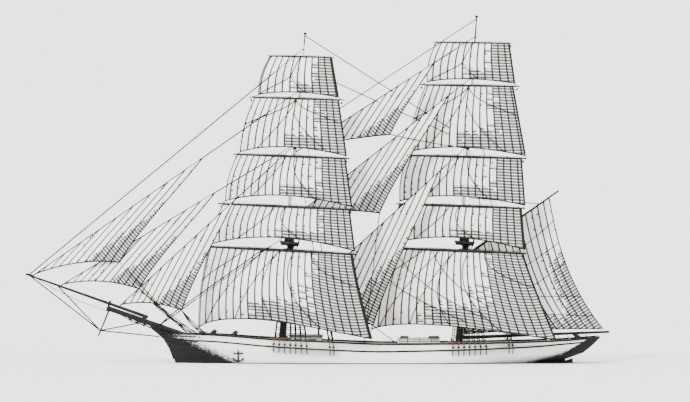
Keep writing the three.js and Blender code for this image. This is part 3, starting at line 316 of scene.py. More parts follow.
class Shader(Nodes):
    """A material's node tree."""

    def __init__(self, name: str) -> None:
        """Start a material with one Principled BSDF.

        Args:
            name: the material's name.
        """
        self.material = bpy.data.materials.new(name)
        self.material.use_nodes = True
        super().__init__(self.material.node_tree)
        self.bsdf = self.tree.nodes["Principled BSDF"]
        self.place = self.wire("ShaderNodeTexCoord", output="Object")

    def ramp(self, what: Wire, low: float, high: float, a: float = 0.0, b: float = 1.0) -> Wire:
        """Map a value smoothly from one range to another.

        Args:
            what: the value.
            low, high: the range it comes from.
            a, b: the range it goes to.

        Returns:
            The mapped value.
        """
        return self.wire("ShaderNodeMapRange", {
            "Value": what, "From Min": low, "From Max": high, "To Min": a, "To Max": b},
            "Result", interpolation_type="SMOOTHSTEP")

    def curve(self, what: Wire, values: Sequence[float]) -> Wire:
        """Look a value from 0 to 1 up in a row of evenly spaced results.

        Args:
            what: the value.
            values: the results, each from 0 to 1.

        Returns:
            The result.
        """
        node = self.add("ShaderNodeFloatCurve", {"Value": what})
        points = node.mapping.curves[0].points
        points[0].location, points[1].location = (0, values[0]), (1, values[-1])
        for i, height in enumerate(values[1:-1], 1):
            points.new(i / (len(values) - 1), height)
        for point in points:
            point.handle_type = "VECTOR"
        node.mapping.update()
        return Wire(self, node.outputs[0])

    def near(self, what: Wire, middle: float, reach: float) -> Wire:
        """Return a mask of where a value lies within reach of a middle value."""
        return self.math("LESS_THAN", self.math("ABSOLUTE", what - middle), reach)

    def blend(self, share: object, a: Point | Wire, b: Point | Wire) -> Wire:
        """Return the first colour where share is 0 and the second where it is 1."""
        a, b = ((*colour, 1.0) if isinstance(colour, tuple) else colour for colour in (a, b))
        return self.wire("ShaderNodeMix", {0: share, 6: a, 7: b}, 2, data_type="RGBA")

    def grain(self, scale: float, patch: float, stretch: Point | None = None) -> tuple[Wire, Wire]:
        """Place the grain group.

        Args:
            scale: the fine grain's scale.
            patch: the slow patches' scale.
            stretch: how the grain is drawn out along x, y and z.

        Returns:
            The masks of grain and of patches.
        """
        place = self.place
        if stretch:
            place = self.wire("ShaderNodeMapping", {"Vector": place, "Scale": stretch})
        node = self.add("ShaderNodeGroup", {"Vector": place, "Scale": scale, "Patch": patch}, node_tree=GRAIN.tree)
        return Wire(self, node.outputs["Grain"]), Wire(self, node.outputs["Patches"])

    def stripes(self, distance: Wire, spacing: float, width: float) -> Wire:
        """Return a mask of lines, spaced along a distance in metres."""
        return self.wire("ShaderNodeGroup", {"Distance": distance, "Spacing": spacing, "Width": width},
                         node_tree=STRIPES.tree)

    def axes(self, source: Wire | None = None) -> list[Wire]:
        """Split Object coordinates, or another vector, into its three parts."""
        return [Wire(self, part) for part in self.add("ShaderNodeSeparateXYZ", {0: source or self.place}).outputs]

    def finish(self, colour: Wire, roughness: object, specular: float = 0.5, height: Wire | None = None,
               strength: float = 0.0, distance: float = 0.0, metallic: float = 0.0) -> Material:
        """Join everything to the Principled BSDF.

        Args:
            colour: the base colour.
            roughness: the roughness.
            specular: how strongly the surface mirrors.
            height: the relief, or None for none.
            strength: the relief's strength.
            distance: the relief's depth in metres.
            metallic: 1 for bare metal.

        Returns:
            The finished material.
        """
        for name, what in (("Base Color", colour), ("Roughness", roughness), ("Specular IOR Level", specular),
                           ("Metallic", metallic)):
            self.put(self.bsdf, name, what)
        if height:
            self.put(self.bsdf, "Normal", self.wire("ShaderNodeBump", {
                "Strength": strength, "Distance": distance, "Height": height}))
        return self.material


@dataclass(frozen=True)
class WoodPaint:
    """Painted wood: grain drawn out by stretch, slow patches of wear, and plank seams across one axis."""

    name: str
    colour: Point
    worn: Point
    roughness: float = 0.5
    stretch: Point = (0.35, 3.0, 3.0)
    seam: float = 0.0
    seam_axis: int = 1
    gloss: float = 0.5
    seam_colour: Point = (0.05, 0.045, 0.04)

    def material(self) -> Material:
        """Build the material.

        Returns:
            The material.
        """
        s = Shader(self.name)
        grain, patches = s.grain(7.0, 0.7, self.stretch)
        wear = s.math("ADD", s.ramp(patches, 0.42, 0.78, 0.0, 0.55), s.ramp(grain, 0.3, 0.75, 0.0, 0.35), True)
        colour = s.blend(wear, self.colour, self.worn)
        height = grain * 0.3
        if self.seam:
            lines = s.stripes(s.axes()[self.seam_axis], self.seam, 0.012)
            colour = s.blend(lines * 0.8, colour, self.seam_colour)
            height = height - lines
        rough = s.ramp(grain, 0.2, 0.8, self.roughness - 0.08, self.roughness + 0.14)
        return s.finish(colour, rough, self.gloss, height, 0.35, 0.01)


@dataclass(frozen=True)
class Canvas:
    """Sailcloth with doubled seams between its cloths and short dark strokes where it lies in shade.

    The widths of seams and strokes are halves; pitch is the distance between strokes.
    """

    colour: Point = (0.86, 0.845, 0.80)
    shade: Point = (0.035, 0.034, 0.032)
    ink: Point = (0.008, 0.008, 0.008)
    seam: float = 0.095
    pitch: float = 0.2
    stroke: float = 0.095

    def material(self) -> Material:
        """Build the material.

        Returns:
            The material.
        """
        s = Shader("sail_cloth")
        across, down, _ = s.axes(s.wire("ShaderNodeUVMap", uv_map="cloth"))
        tone = s.axes(s.wire("ShaderNodeUVMap", uv_map="tone"))[0]
        seams = s.ramp(s.stripes(across, CLOTH_WIDTH, self.seam), 0.0, 0.5)
        grain, patches = s.grain(3.2, 0.35)
        strokes = s.ramp(s.stripes(down + grain * 0.08, self.pitch, self.stroke), 0.0, 0.5)
        share = across / CLOTH_WIDTH
        column, row = s.math("FLOOR", share), s.math("FLOOR", down / self.pitch)
        cell = s.wire("ShaderNodeCombineXYZ", {0: column, 1: row})
        loose = s.wire("ShaderNodeTexWhiteNoise", {"Vector": cell}, noise_dimensions="2D")
        whole = s.wire("ShaderNodeTexWhiteNoise", {"W": column}, noise_dimensions="1D")
        reach = tone + (whole - 0.5) * 0.22 + (loose - 0.5) * 0.55
        inked = s.math("LESS_THAN", s.math("FRACT", share), reach * 2.0 - 0.3)
        # Painted shade: the cloth darkens where the tone map is high, and slow patches of stain add to it.
        shade_and_stain = s.math("ADD", tone * 0.12, s.ramp(patches, 0.45, 0.8, 0.0, 0.05), True)
        colour = s.blend(shade_and_stain, self.colour, self.shade)
        colour = s.blend(strokes * inked * 0.94, colour, self.shade)
        colour = s.blend(seams * 0.97, colour, self.ink)
        weave = s.wire("ShaderNodeTexNoise", {"Vector": s.place, "Scale": 60.0}, "Fac")
        return s.finish(colour, 0.92, 0.2, weave * 0.25 + seams * 0.9, 0.5, 0.012)


@dataclass(frozen=True)
class Cordage:
    """Rope with a laid surface, paler where it has faded."""

    name: str
    colour: Point
    worn: Point

    def material(self) -> Material:
        """Build the material.

        Returns:
            The material.
        """
        s = Shader(self.name)
        grain, patches = s.grain(24.0, 1.4)
        x, y, z = s.axes()
        colour = s.blend(s.ramp(patches, 0.4, 0.8, 0.0, 0.7), self.colour, self.worn)
        return s.finish(colour, 0.85, 0.08, s.stripes(x + y + z, 0.05, 0.02) + grain, 0.5, 0.006)


@dataclass(frozen=True)
class HullFinish:
    """White planking with black painted shade on bow, counter and waterline; pale deck on faces as level as deck_from.

    Each painted shade edge holds its slopes along x and z, its place, how ragged it is and the range it fades over.
    """

    name: str
    deck_from: float = 0.8
    white: Point = (0.84, 0.83, 0.79)
    black: Point = (0.006, 0.006, 0.007)
    deck: Point = (0.66, 0.57, 0.44)
    painted_shade_edges: tuple[tuple[float, ...], ...] = (
        (1, -2.3, 8.6, 1.0, -0.55, 0.65), (-1, -3.4, 9.9, 1.0, -0.55, 0.65), (-1, -1.68, 11.42, 0.15, -0.1, 0.1))
    strake: float = 0.16
    deck_plank: float = 0.15

    def material(self) -> Material:
        """Build the material.

        Returns:
            The material.
        """
        s = Shader(self.name)
        x, y, z = s.axes()
        grain, patches = s.grain(6.0, 0.5, (0.2, 2.0, 2.0))
        ragged = (grain - 0.5) * 2.4
        lines = s.stripes(z + x * x * -0.0022, self.strake, 0.014)
        first, last = SHEER[0][0], SHEER[-1][0]
        share = s.math("DIVIDE", x - first, last - first, True)
        places = [mix(first, last, i / 30) for i in range(31)]
        rail = s.curve(share, [along(SHEER, at) - 1.0 for at in places])
        wale = s.curve(share, [along(SHEER, at) - along(WALE_DROP, at) - 0.8 for at in places])
        normal = s.axes(s.wire("ShaderNodeNewGeometry", output="Normal"))
        # Painted shade in black along the waterline and over the bow and the counter; the rail cap and wale line are
        # black paint.
        dark = (z - rail > 0.965) | s.near(z - wale, 0.8, 0.056) * (y * normal[1] > -0.1) | s.ramp(z, 0.10, 0.05)
        for slope_x, slope_z, place, loose, low, high in self.painted_shade_edges:
            dark = dark | s.ramp(x * slope_x + z * slope_z - place + ragged * loose, low, high)
        white = s.blend(s.ramp(patches, 0.45, 0.8, 0.0, 0.3), self.white, (0.70, 0.68, 0.63))
        white = s.blend(lines * 0.3, white, self.black)
        side = s.blend(dark, white, s.blend(lines * 0.4, self.black, (0.035, 0.035, 0.036)))
        on_deck = s.ramp(normal[2], self.deck_from, self.deck_from + 0.1) * (z > 0.2)
        planks = s.stripes(y, self.deck_plank, 0.012)
        wood = s.blend(s.ramp(grain, 0.3, 0.8, 0.0, 0.5), self.deck, (0.42, 0.34, 0.24))
        deck = s.blend(planks * 0.8, wood, (0.04, 0.035, 0.03))
        seams = lines * s.math("SUBTRACT", 1.0, on_deck) | planks * on_deck
        return s.finish(s.blend(on_deck, side, deck), s.ramp(grain, 0.2, 0.8, 0.42, 0.66), 0.12,
                        grain * 0.3 - seams, 0.4, 0.012)


@dataclass(frozen=True)
class MastPaint:
    """Pale masts, black over each band from a lowest to a highest height."""

    name: str
    pale: Point = (0.66, 0.60, 0.48)
    black: Point = (0.007, 0.007, 0.008)
    bands: tuple[tuple[float, float], ...] = ((-9.0, 3.6), (7.55, 10.35), (14.2, 15.25), (21.2, 30.0))

    def material(self) -> Material:
        """Build the material.

        Returns:
            The material.
        """
        s = Shader(self.name)
        grain, patches = s.grain(5.0, 0.7, (3.0, 3.0, 0.25))
        height = s.axes()[2]
        painted = 0.0
        for low, high in self.bands:
            painted = s.near(height, (low + high) / 2, (high - low) / 2) | painted
        wood = s.blend(s.ramp(grain, 0.3, 0.8, 0.0, 0.4), self.pale, (0.40, 0.31, 0.20))
        paint = s.blend(s.ramp(patches, 0.4, 0.8, 0.0, 0.5), self.black, (0.04, 0.035, 0.03))
        return s.finish(s.blend(painted, wood, paint), s.ramp(grain, 0.2, 0.8, 0.35, 0.6), 0.15, grain, 0.3, 0.008)


@dataclass(frozen=True)
class Metal:
    """Iron or brass with tarnish."""

    name: str
    colour: Point
    tarnish: Point
    roughness: float

    def material(self) -> Material:
        """Build the material.

        Returns:
            The material.
        """
        s = Shader(self.name)
        grain, patches = s.grain(20.0, 3.0)
        rough = s.ramp(grain, 0.2, 0.8, self.roughness, self.roughness + 0.3)
        return s.finish(s.blend(s.ramp(patches, 0.4, 0.7), self.colour, self.tarnish), rough, metallic=0.9)


@dataclass(frozen=True)
class WindowGlass:
    """Dark old window glass."""

    colour: Point = (0.03, 0.035, 0.04)
    light: Point = (0.09, 0.10, 0.11)

    def material(self) -> Material:
        """Build the material.

        Returns:
            The material.
        """
        s = Shader("window_glass")
        grain, patches = s.grain(5.0, 2.0)
        return s.finish(s.blend(s.ramp(patches, 0.35, 0.7), self.colour, self.light), 0.08, 0.5, grain, 0.15, 0.004)


class Finish:
    """Every finish of the ship, built once."""

    canvas = Canvas().material()
    hull = HullFinish("hull_planking").material()
    bulwark = HullFinish("bulwark_planking", 2.0).material()
    black = WoodPaint("black_paint", (0.007, 0.007, 0.008), (0.024, 0.022, 0.02), 0.45, gloss=0.12).material()
    spar = WoodPaint("black_spar", (0.007, 0.007, 0.007), (0.024, 0.021, 0.018), 0.45, (2.0, 2.0, 0.5),
                     gloss=0.12).material()
    mast = MastPaint("mast_paint").material()
    joinery = WoodPaint("deck_joinery_paint", (0.72, 0.70, 0.64), (0.50, 0.46, 0.40), 0.5, (0.5, 2.0, 2.0), 0.14,
                        2).material()
    roof = WoodPaint("roof_paint", (0.10, 0.10, 0.10), (0.20, 0.19, 0.18), 0.6, (0.4, 2.0, 2.0), 0.16).material()
    oak = WoodPaint("oiled_oak", (0.20, 0.115, 0.06), (0.33, 0.21, 0.12), 0.4, (2.0, 2.0, 2.0)).material()
    rope = Cordage("tarred_rope", (0.008, 0.008, 0.008), (0.022, 0.02, 0.018)).material()
    manila = Cordage("plain_rope", (0.10, 0.085, 0.065), (0.18, 0.15, 0.11)).material()
    iron = Metal("black_iron", (0.016, 0.016, 0.017), (0.035, 0.028, 0.022), 0.55).material()
    brass = Metal("brass", (0.72, 0.50, 0.20), (0.38, 0.28, 0.13), 0.25).material()
    glass = WindowGlass().material()


# Making pieces


def vec(x: float, y: float, z: float) -> Vector:
    """Return a vector."""
    return Vector((x, y, z))


def shares(steps: int) -> list[float]:
    """Return even shares of a way, from 0 to 1."""
    return [i / steps for i in range(steps + 1)]


def turns(steps: int) -> list[float]:
    """Return the angles of even steps round a circle."""
    return [2 * math.pi * i / steps for i in range(steps)]


def hump(t: float) -> float:
    """Return 1 midway and 0 at either end."""
    return 4 * t * (1 - t)


def spin(angle: float, axis: str) -> Matrix:
    """Return the matrix of a turn about an axis."""
    return Matrix.Rotation(angle, 4, axis)


def mirrored(line: Iterable[Vector]) -> Line:
    """Return a line of points on the other side of the ship."""
    return [vec(p.x, -p.y, p.z) for p in line]


def placed(name: str, data: bpy.types.ID) -> bpy.types.Object:
    """Put a mesh, a light or a camera into the scene.

    Args:
        name: the object's name.
        data: what it shows.

    Returns:
        The object at the origin.
    """
    made = bpy.data.objects.new(name, data)
    bpy.context.scene.collection.objects.link(made)
    return made


def grown(name: str, mesh: bpy.types.Mesh, group: Group, **values: object) -> bpy.types.Object:
    """Run a geometry node group on a mesh and keep the result as a plain mesh.

    Args:
        name: the piece's name.
        mesh: the points or edges that the group works on.
        group: the group.
        values: its inputs by name.

    Returns:
        The finished object.
    """
    seed = placed(name + "_seed", mesh)
    modifier = seed.modifiers.new("grow", "NODES")
    modifier.node_group = group.tree
    for item in group.tree.interface.items_tree:
        if item.in_out == "INPUT" and item.name in values:
            modifier[item.identifier] = values[item.name]
    bpy.context.view_layer.update()
    made = bpy.data.meshes.new_from_object(seed.evaluated_get(bpy.context.evaluated_depsgraph_get()))
    bpy.data.objects.remove(seed)
    made.name = name
    return placed(name, made)


def rode(piece: bpy.types.Object, body: Body) -> None:
    """Let a finished piece ride on a body.

    Args:
        piece: the finished object.
        body: the body it moves with.
    """
    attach(piece, body.value)
    log.info("%s: %d faces on %s", piece.name, len(piece.data.polygons), body.value)


@dataclass
class Ropes:
    """Ropes of one radius on one body, gathered and then grown in one piece."""

    name: str
    radius: float
    sides: int = 5
    body: Body = Body.SHIP
    material: Material = Finish.rope
    points: Line = field(default_factory=list)
    edges: list[tuple[int, int]] = field(default_factory=list)

    def add(self, line: Line, closed: bool = False) -> None:
        """Add one rope.

        Args:
            line: its points.
            closed: whether the last point joins the first.
        """
        first = len(self.points)
        last = first + len(line) - 1
        self.points += line
        self.edges += [(i, i + 1) for i in range(first, last)]
        if closed:
            self.edges.append((last, first))

    def both(self, line: Line) -> None:
        """Add one rope on the port side and its mirror image to starboard."""
        self.add(line)
        self.add(mirrored(line))

    def sag(self, a: Vector, b: Vector, drop: float, steps: int = 8) -> None:
        """Add a rope that hangs in a shallow curve between two points."""
        self.add([a.lerp(b, t) - UP * drop * hump(t) for t in shares(steps)])

    def grow(self) -> bpy.types.Object:
        """Grow the ropes without letting them ride.

        Returns:
            The ropes as one object.
        """
        mesh = bpy.data.meshes.new(self.name)
        mesh.from_pydata(self.points, self.edges, [])
        return grown(self.name, mesh, ROPES, Radius=self.radius, Sides=self.sides, Material=self.material)

    def finish(self) -> None:
        """Grow the ropes and let them ride on their body."""
        rode(self.grow(), self.body)


@dataclass
class Repeats:
    """One small turned piece at each place, which has a foot and a lean; radius is the foot's and top the head's."""

    name: str
    material: Material
    radius: float
    depth: float
    top: float
    sides: int = 8
    slot: Slot = Slot.SPAR
    body: Body = Body.SHIP
    places: list[tuple[Vector, Vector]] = field(default_factory=list)

    def finish(self) -> None:
        """Grow the pieces as one."""
        mesh = bpy.data.meshes.new(self.name)
        mesh.from_pydata([foot for foot, _ in self.places], [], [])
        lean = mesh.attributes.new("lean", "FLOAT_VECTOR", "POINT")
        for i, (_, way) in enumerate(self.places):
            lean.data[i].vector = way
        rode(grown(self.name, mesh, REPEATS, Radius=self.radius, Depth=self.depth, Top=self.top, Sides=self.sides,
                   Material=self.material), self.body)


@dataclass
class Draft:
    """A mesh in the making, with a material for each face."""

    name: str
    mesh: bmesh.types.BMesh = field(default_factory=bmesh.new)
    materials: list[Material] = field(default_factory=list)

    def paint(self, faces: Iterable[bmesh.types.BMFace], material: Material) -> None:
        """Give faces a material.

        Args:
            faces: the faces.
            material: their finish.
        """
        if material not in self.materials:
            self.materials.append(material)
        for face in faces:
            face.material_index = self.materials.index(material)

    def box(self, centre: Point | Vector, half: Point, material: Material, bevel: float = 0.0,
            turn: Matrix | None = None) -> None:
        """Add a box.

        Args:
            centre: its middle.
            half: half its length, breadth and height.
            material: its finish.
            bevel: how much its edges are rounded.
            turn: a matrix that places it.
        """
        place = Matrix.Translation(centre) @ Matrix.Diagonal((*half, 1.0))
        verts = bmesh.ops.create_cube(self.mesh, size=2.0, matrix=turn @ place if turn else place)["verts"]
        faces = {f for v in verts for f in v.link_faces}
        if bevel:
            edges = list({e for v in verts for e in v.link_edges})
            made = bmesh.ops.bevel(self.mesh, geom=edges, offset=bevel, segments=2, affect="EDGES", profile=0.6)
            faces = {f for f in faces | set(made["faces"]) if f.is_valid}
        self.paint(faces, material)

    def bar(self, a: Point | Vector, b: Point | Vector, radius: float, material: Material, end: float | None = None,
            sides: int = 10) -> None:
        """Add a round bar between two points.

        Args:
            a: one end.
            b: the other end.
            radius: the radius at a.
            material: its finish.
            end: the radius at b, or None for the same.
            sides: how many sides it has.
        """
        a, b = Vector(a), Vector(b)
        turn = Matrix.Translation((a + b) / 2) @ (b - a).to_track_quat("Z", "Y").to_matrix().to_4x4()
        made = bmesh.ops.create_cone(self.mesh, cap_ends=True, segments=sides, radius1=radius,
                                     radius2=radius if end is None else end, depth=(b - a).length, matrix=turn)
        self.paint({f for v in made["verts"] for f in v.link_faces}, material)

    def strip(self, rings: Iterable[Line], material: Material, loop: bool = False) -> None:
        """Add a skin over rings that hold the same number of points.

        Args:
            rings: the rings, in order.
            material: its finish.
            loop: whether the last ring joins the first, or both are closed.
        """
        rows = [[self.mesh.verts.new(p) for p in ring] for ring in rings]
        following = rows[1:] + (rows[:1] if loop else [])
        faces = [self.mesh.faces.new((a[k - 1], b[k - 1], b[k], a[k]))
                 for a, b in zip(rows, following) for k in range(len(a))]
        if not loop:
            faces += [self.mesh.faces.new(rows[0]), self.mesh.faces.new(rows[-1][::-1])]
        self.paint(faces, material)

    def ring(self, centre: Vector, way: Vector, radius: float, thick: float, sides: int = 16,
             material: Material = Finish.iron) -> None:
        """Add a round hoop.

        Args:
            centre: its middle.
            way: its axis.
            radius: its radius.
            thick: half its thickness.
            sides: how many steps it has round.
            material: its finish.
        """
        turn = Matrix.Translation(centre) @ way.to_track_quat("Z", "Y").to_matrix().to_4x4()
        section = [(radius + thick * math.cos(a), thick * math.sin(a)) for a in turns(6)]
        self.strip([[turn @ vec(r * math.cos(a), r * math.sin(a), z) for r, z in section] for a in turns(sides)],
                   material, True)

    def bands(self, ends: tuple[Vector, Vector], places: Iterable[float], radii: tuple[float, float],
              thick: float) -> None:
        """Put hoops at shares of a spar's length; radii are theirs at its ends and thick is half their thickness."""
        for share in places:
            self.ring(ends[0].lerp(ends[1], share), ends[1] - ends[0], mix(*radii, share), thick)

    def finish(self, slot: Slot = Slot.SPAR, body: Body = Body.SHIP) -> None:
        """Turn the draft into a finished piece.

        Args:
            slot: the record's slot; not used.
            body: the body it moves with.
        """
        bmesh.ops.recalc_face_normals(self.mesh, faces=self.mesh.faces)
        mesh = bpy.data.meshes.new(self.name)
        self.mesh.to_mesh(mesh)
        self.mesh.free()
        for material in self.materials:
            mesh.materials.append(material)
        mesh.shade_smooth()
        mesh.set_sharp_from_angle(angle=math.radians(40))
        rode(placed(self.name, mesh), body)


# Masts, stays and sails


@dataclass(frozen=True)
class Yard:
    """One yard, topped up with its mast's cant, and the cut of its sail.

    head and foot are half the sail's width, at the foot to starboard and to port; clews is how far the lower
    corners stand ahead of the mast; ahead is the same for the yard.
    """

    height: float
    half: float
    radius: float
    ahead: float
    head: float
    foot: tuple[float, float]
    drop: float
    arch: float
    belly: float
    clews: tuple[float, float]


@dataclass(frozen=True)
class Mast:
    """One mast with its yards from the deck up; rake is a slope aft and cant is in degrees."""

    x: float
    rake: float
    cant: float
    name: str
    body: Body
    truck: float
    yards: dict[str, Yard]

    def at(self, x: float, y: float, height: float) -> Vector:
        """Return the place a distance ahead of the mast's line at a height up it."""
        return vec(self.x, 0, 0) + spin(-math.atan(self.rake), "Y") @ vec(x, y, height)

    def radius(self, height: float) -> float:
        """Return the radius of the lower mast, topmast or topgallant mast at a height.

        Args:
            height: how far up the mast.

        Returns:
            The radius in metres.
        """
        if height < TOP_HEIGHT:
            return mix(0.26, 0.19, height / LOWER_MAST_LENGTH)
        if height < CROSSTREES:
            return mix(0.13, 0.11, (height - TOP_HEIGHT) / (CROSSTREES - TOP_HEIGHT))
        return mix(0.105, 0.042, (height - CROSSTREES) / (self.truck - CROSSTREES))

    def frame(self, yard: Yard) -> Matrix:
        """Place a yard's own frame, whose origin is the yard's middle, in the ship's.

        Args:
            yard: the yard.

        Returns:
            The matrix from the yard's frame to the ship's.
        """
        return (Matrix.Translation((self.x, 0, 0)) @ spin(-math.atan(self.rake), "Y")
                @ Matrix.Translation((0, 0, yard.height)) @ spin(BRACE, "Z") @ Matrix.Translation((yard.ahead, 0, 0))
                @ spin(math.radians(self.cant), "X"))

    def square_cloth(self, key: str) -> "Cloth":
        """Return the sail bent to one of the yards.

        Args:
            key: the yard's name.

        Returns:
            The sail.
        """
        yard = self.yards[key]
        place = self.frame(yard)

        def surface(share: float, v: float) -> Vector:
            """Return a place on the sail.

            Args:
                share: the share across from the weather leech.
                v: the share down from the yard.

            Returns:
                The place in the ship's frame.
            """
            u = 2 * share - 1
            side = 0 if u < 0 else 1
            y = u * mix(yard.head, yard.foot[side], v)
            z = mix(-0.4 * yard.radius, -yard.drop + yard.arch * (1 - u * u), v)
            bow = yard.belly * (1 - abs(u) ** 2.6) * math.sin(math.pi * 0.62 * v ** 0.9)
            bow += 0.28 * math.sin(math.pi * v) * max(-u, 0.0) ** 2
            return place @ vec(bow + (yard.clews[side] - yard.ahead) * v ** 1.3 * u ** 4, y, z)

        def seam(share: float, v: float) -> float:
            """Lay out the cloths, nearly even as the sail is seen from abeam.

            Args:
                share: the share across.
                v: the share down.

            Returns:
                The metres across the cloths from the sail's middle.
            """
            fore, here, aft = (surface(s, v).x for s in (0.0, share, 1.0))
            even = mix(share, (here - fore) / (aft - fore), 0.85)
            return (2 * even - 1) * (yard.head + sum(yard.foot) / 2) / 2

        def tone(share: float, v: float) -> float:
            """Return the shade of the lee side and the foot."""
            return max(step_up(share, 0.68, 0.90), step_up(share, 0.36, 0.60) * step_up(v, 0.62, 0.86))

        name = f"{self.name}_{key}"
        return Cloth(name, self.body, name + "_yard", surface, seam, tone, 40, 24)


FORE = Mast(6.542, 0.092, 2.0, "fore", Body.FORE_YARDS, 22.05, {
    "course": Yard(7.5, 6.74, 0.12, 0.5, 6.46, (7.0, 7.4), 5.48, 0.8, 2.2, (0.45, -0.9)),
    "lower_topsail": Yard(10.43, 6.15, 0.105, 0.35, 5.7, (6.4, 6.4), 2.7, 0.62, 0.62, (0.35, 0.35)),
    "upper_topsail": Yard(13.8, 5.25, 0.095, 0.28, 4.85, (5.7, 5.7), 3.15, 0.52, 0.62, (0.28, 0.28)),
    "topgallant": Yard(17.67, 4.29, 0.078, 0.27, 3.75, (4.78, 4.78), 3.68, 0.42, 0.62, (0.27, 0.27)),
    "royal": Yard(20.48, 2.99, 0.06, 0.23, 2.76, (3.6, 3.6), 2.62, 0.23, 0.42, (0.23, 0.23)),
})
MAIN = Mast(-5.294, 0.07, 1.5, "main", Body.MAIN_YARDS, 23.16, {
    "course": Yard(7.47, 6.19, 0.12, 0.5, 5.9, (7.2, 7.9), 5.55, 0.56, 2.3, (0.4, -0.9)),
    "lower_topsail": Yard(10.46, 5.68, 0.105, 0.35, 5.35, (5.83, 5.83), 2.7, 0.6, 0.6, (0.35, 0.35)),
    "upper_topsail": Yard(13.75, 5.46, 0.095, 0.28, 5.0, (5.5, 5.5), 3.08, 0.45, 0.6, (0.28, 0.28)),
    "topgallant": Yard(18.51, 4.43, 0.078, 0.27, 3.82, (5.2, 5.2), 4.56, 0.42, 0.7, (0.27, 0.27)),
    "royal": Yard(21.37, 3.5, 0.06, 0.23, 3.19, (3.85, 3.85), 2.65, 0.23, 0.42, (0.23, 0.23)),
})
MASTS = (FORE, MAIN)
YARD_BODIES = (Body.FORE_YARDS, Body.MAIN_YARDS)


@dataclass
class Cloth:
    """A sail: a thin bellied sheet, laid out by functions of the shares across and down.

    surface gives its middle, seam the metres across its cloths, tone its shade from 0 to 1 and carrier the node
    it is bent to, which is not used.
    """

    name: str
    body: Body
    carrier: str
    surface: Callable[[float, float], Vector]
    seam: Callable[[float, float], float]
    tone: Callable[[float, float], float]
    columns: int
    rows: int

    def normal(self, u: float, v: float) -> Vector:
        """Return the surface's normal, which points to the hollow side.

        Args:
            u: the share across.
            v: the share down.

        Returns:
            The normal, 1 long.
        """
        step = 0.01
        inner_u, inner_v = (min(max(share, step), 1 - step) for share in (u, v))
        across = self.surface(min(1.0, u + step), inner_v) - self.surface(max(0.0, u - step), inner_v)
        down = self.surface(inner_u, min(1.0, v + step)) - self.surface(inner_u, max(0.0, v - step))
        return across.cross(down).normalized()

    def build(self) -> None:
        """Build the cloth as one closed thin sheet."""
        wide = self.columns + 1
        us, vs = shares(self.columns), shares(self.rows)
        middle = [[self.surface(u, v) for u in us] for v in vs]
        lengths = [[0.0] * wide]
        for above, row in zip(middle, middle[1:]):
            lengths.append([length + (b - a).length for length, a, b in zip(lengths[-1], above, row)])
        points, maps = [], []
        for side in SIDES:
            for v, row, down in zip(vs, middle, lengths):
                for u, place, length in zip(us, row, down):
                    points.append(place + self.normal(u, v) * side * CLOTH_THICKNESS / 2)
                    maps.append(((self.seam(u, v), length), (self.tone(u, v), 0.0)))
        back = len(points) // 2
        foot = back - wide
        faces = []
        for a in [r * wide + c for r in range(self.rows) for c in range(self.columns)]:
            faces.append((a, a + 1, a + wide + 1, a + wide))
            faces.append((back + a, back + a + wide, back + a + wide + 1, back + a + 1))
        border = [*range(wide), *range(2 * wide - 1, back, wide), *range(back - 2, foot - 1, -1),
                  *range(foot - wide, 0, -wide)]
        faces += [(a, back + a, back + b, b) for a, b in zip(border, border[1:] + border[:1])]
        mesh = bpy.data.meshes.new(self.name + "_cloth")
        mesh.from_pydata(points, [], faces)
        layers = [mesh.uv_layers.new(name=name) for name in ("cloth", "tone")]
        for loop in mesh.loops:
            for layer, place in zip(layers, maps[loop.vertex_index]):
                layer.data[loop.index].uv = place
        mesh.materials.append(Finish.canvas)
        mesh.shade_smooth()
        mesh.set_sharp_from_angle(angle=math.radians(60))
        piece = placed(self.name + "_cloth", mesh)
        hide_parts(self.name)
        rode(piece, self.body)
        self.declare(middle)

    def declare(self, middle: list[Line]) -> None:
        """Say how large the cloth was cut.

        Args:
            middle: its middle surface's rows of points.
        """
        width, length = (round(SEWING * max(sum((b - a).length for a, b in zip(row, row[1:])) for row in rows), 2)
                         for rows in (middle, list(zip(*middle))))
        area = 0.0
        for top, low in zip(middle, middle[1:]):
            for a, b, c, d in zip(top, top[1:], low[1:], low):
                area += ((b - a).cross(c - a).length + (c - a).cross(d - a).length) / 2
        full, least = 0.45, 0.31
        if area < least * width * length:
            width = round(area / full / length, 2)
        log.info("%s cut %.2f x %.2f m, %.1f m2", self.name, width, length, area)

    def edges(self) -> list[Line]:
        """Return the sail's head, foot, fore edge and after edge as lines of points."""
        return [[self.surface(mix(a, b, s), mix(c, d, s)) for s in shares(24)]
                for a, b, c, d in ((0, 1, 0, 0), (0, 1, 1, 1), (0, 0, 0, 1), (1, 1, 0, 1))]

    def across(self, start: tuple[float, float], end: tuple[float, float], bend: float, proud: float) -> Line:
        """Return a line over the sail's front from start to end, its middle bent across, standing proud of it."""
        places = [(mix(start[0], end[0], t) + bend * hump(t), mix(start[1], end[1], t)) for t in shares(14)]
        return [self.surface(u, v) - self.normal(u, v) * proud for u, v in places]


@dataclass(frozen=True)
class Stay:
    """A stay from a height up a mast down to its foot."""

    mast: Mast
    height: float
    foot: Point

    def on(self, share: float) -> Vector:
        """Return the place a share of the way down the stay from the mast's skin."""
        head = self.mast.at(self.mast.radius(self.height) + 0.029, 0, self.height)
        return head.lerp(Vector(self.foot), share)


STAYS = {
    "fore": Stay(FORE, 8.42, (14.3, 0, 2.452)),
    "foreTopmast": Stay(FORE, 14.44, (16.95, 0, 3.725)),
    "jib": Stay(FORE, 14.52, (20.87, 0, 5.111)),
    "flyingJib": Stay(FORE, 18.16, (22.72, 0, 5.766)),
    "foreRoyal": Stay(FORE, 20.98, (22.95, 0, 5.847)),
    "mainTopmast": Stay(MAIN, 14.36, tuple(FORE.at(-0.34, 0, 3.4))),
    "mainTopgallant": Stay(MAIN, 19.02, tuple(FORE.at(-0.34, 0, 9.75))),
    "mainRoyal": Stay(MAIN, 21.75, tuple(FORE.at(0, 0, 14.05))),
}


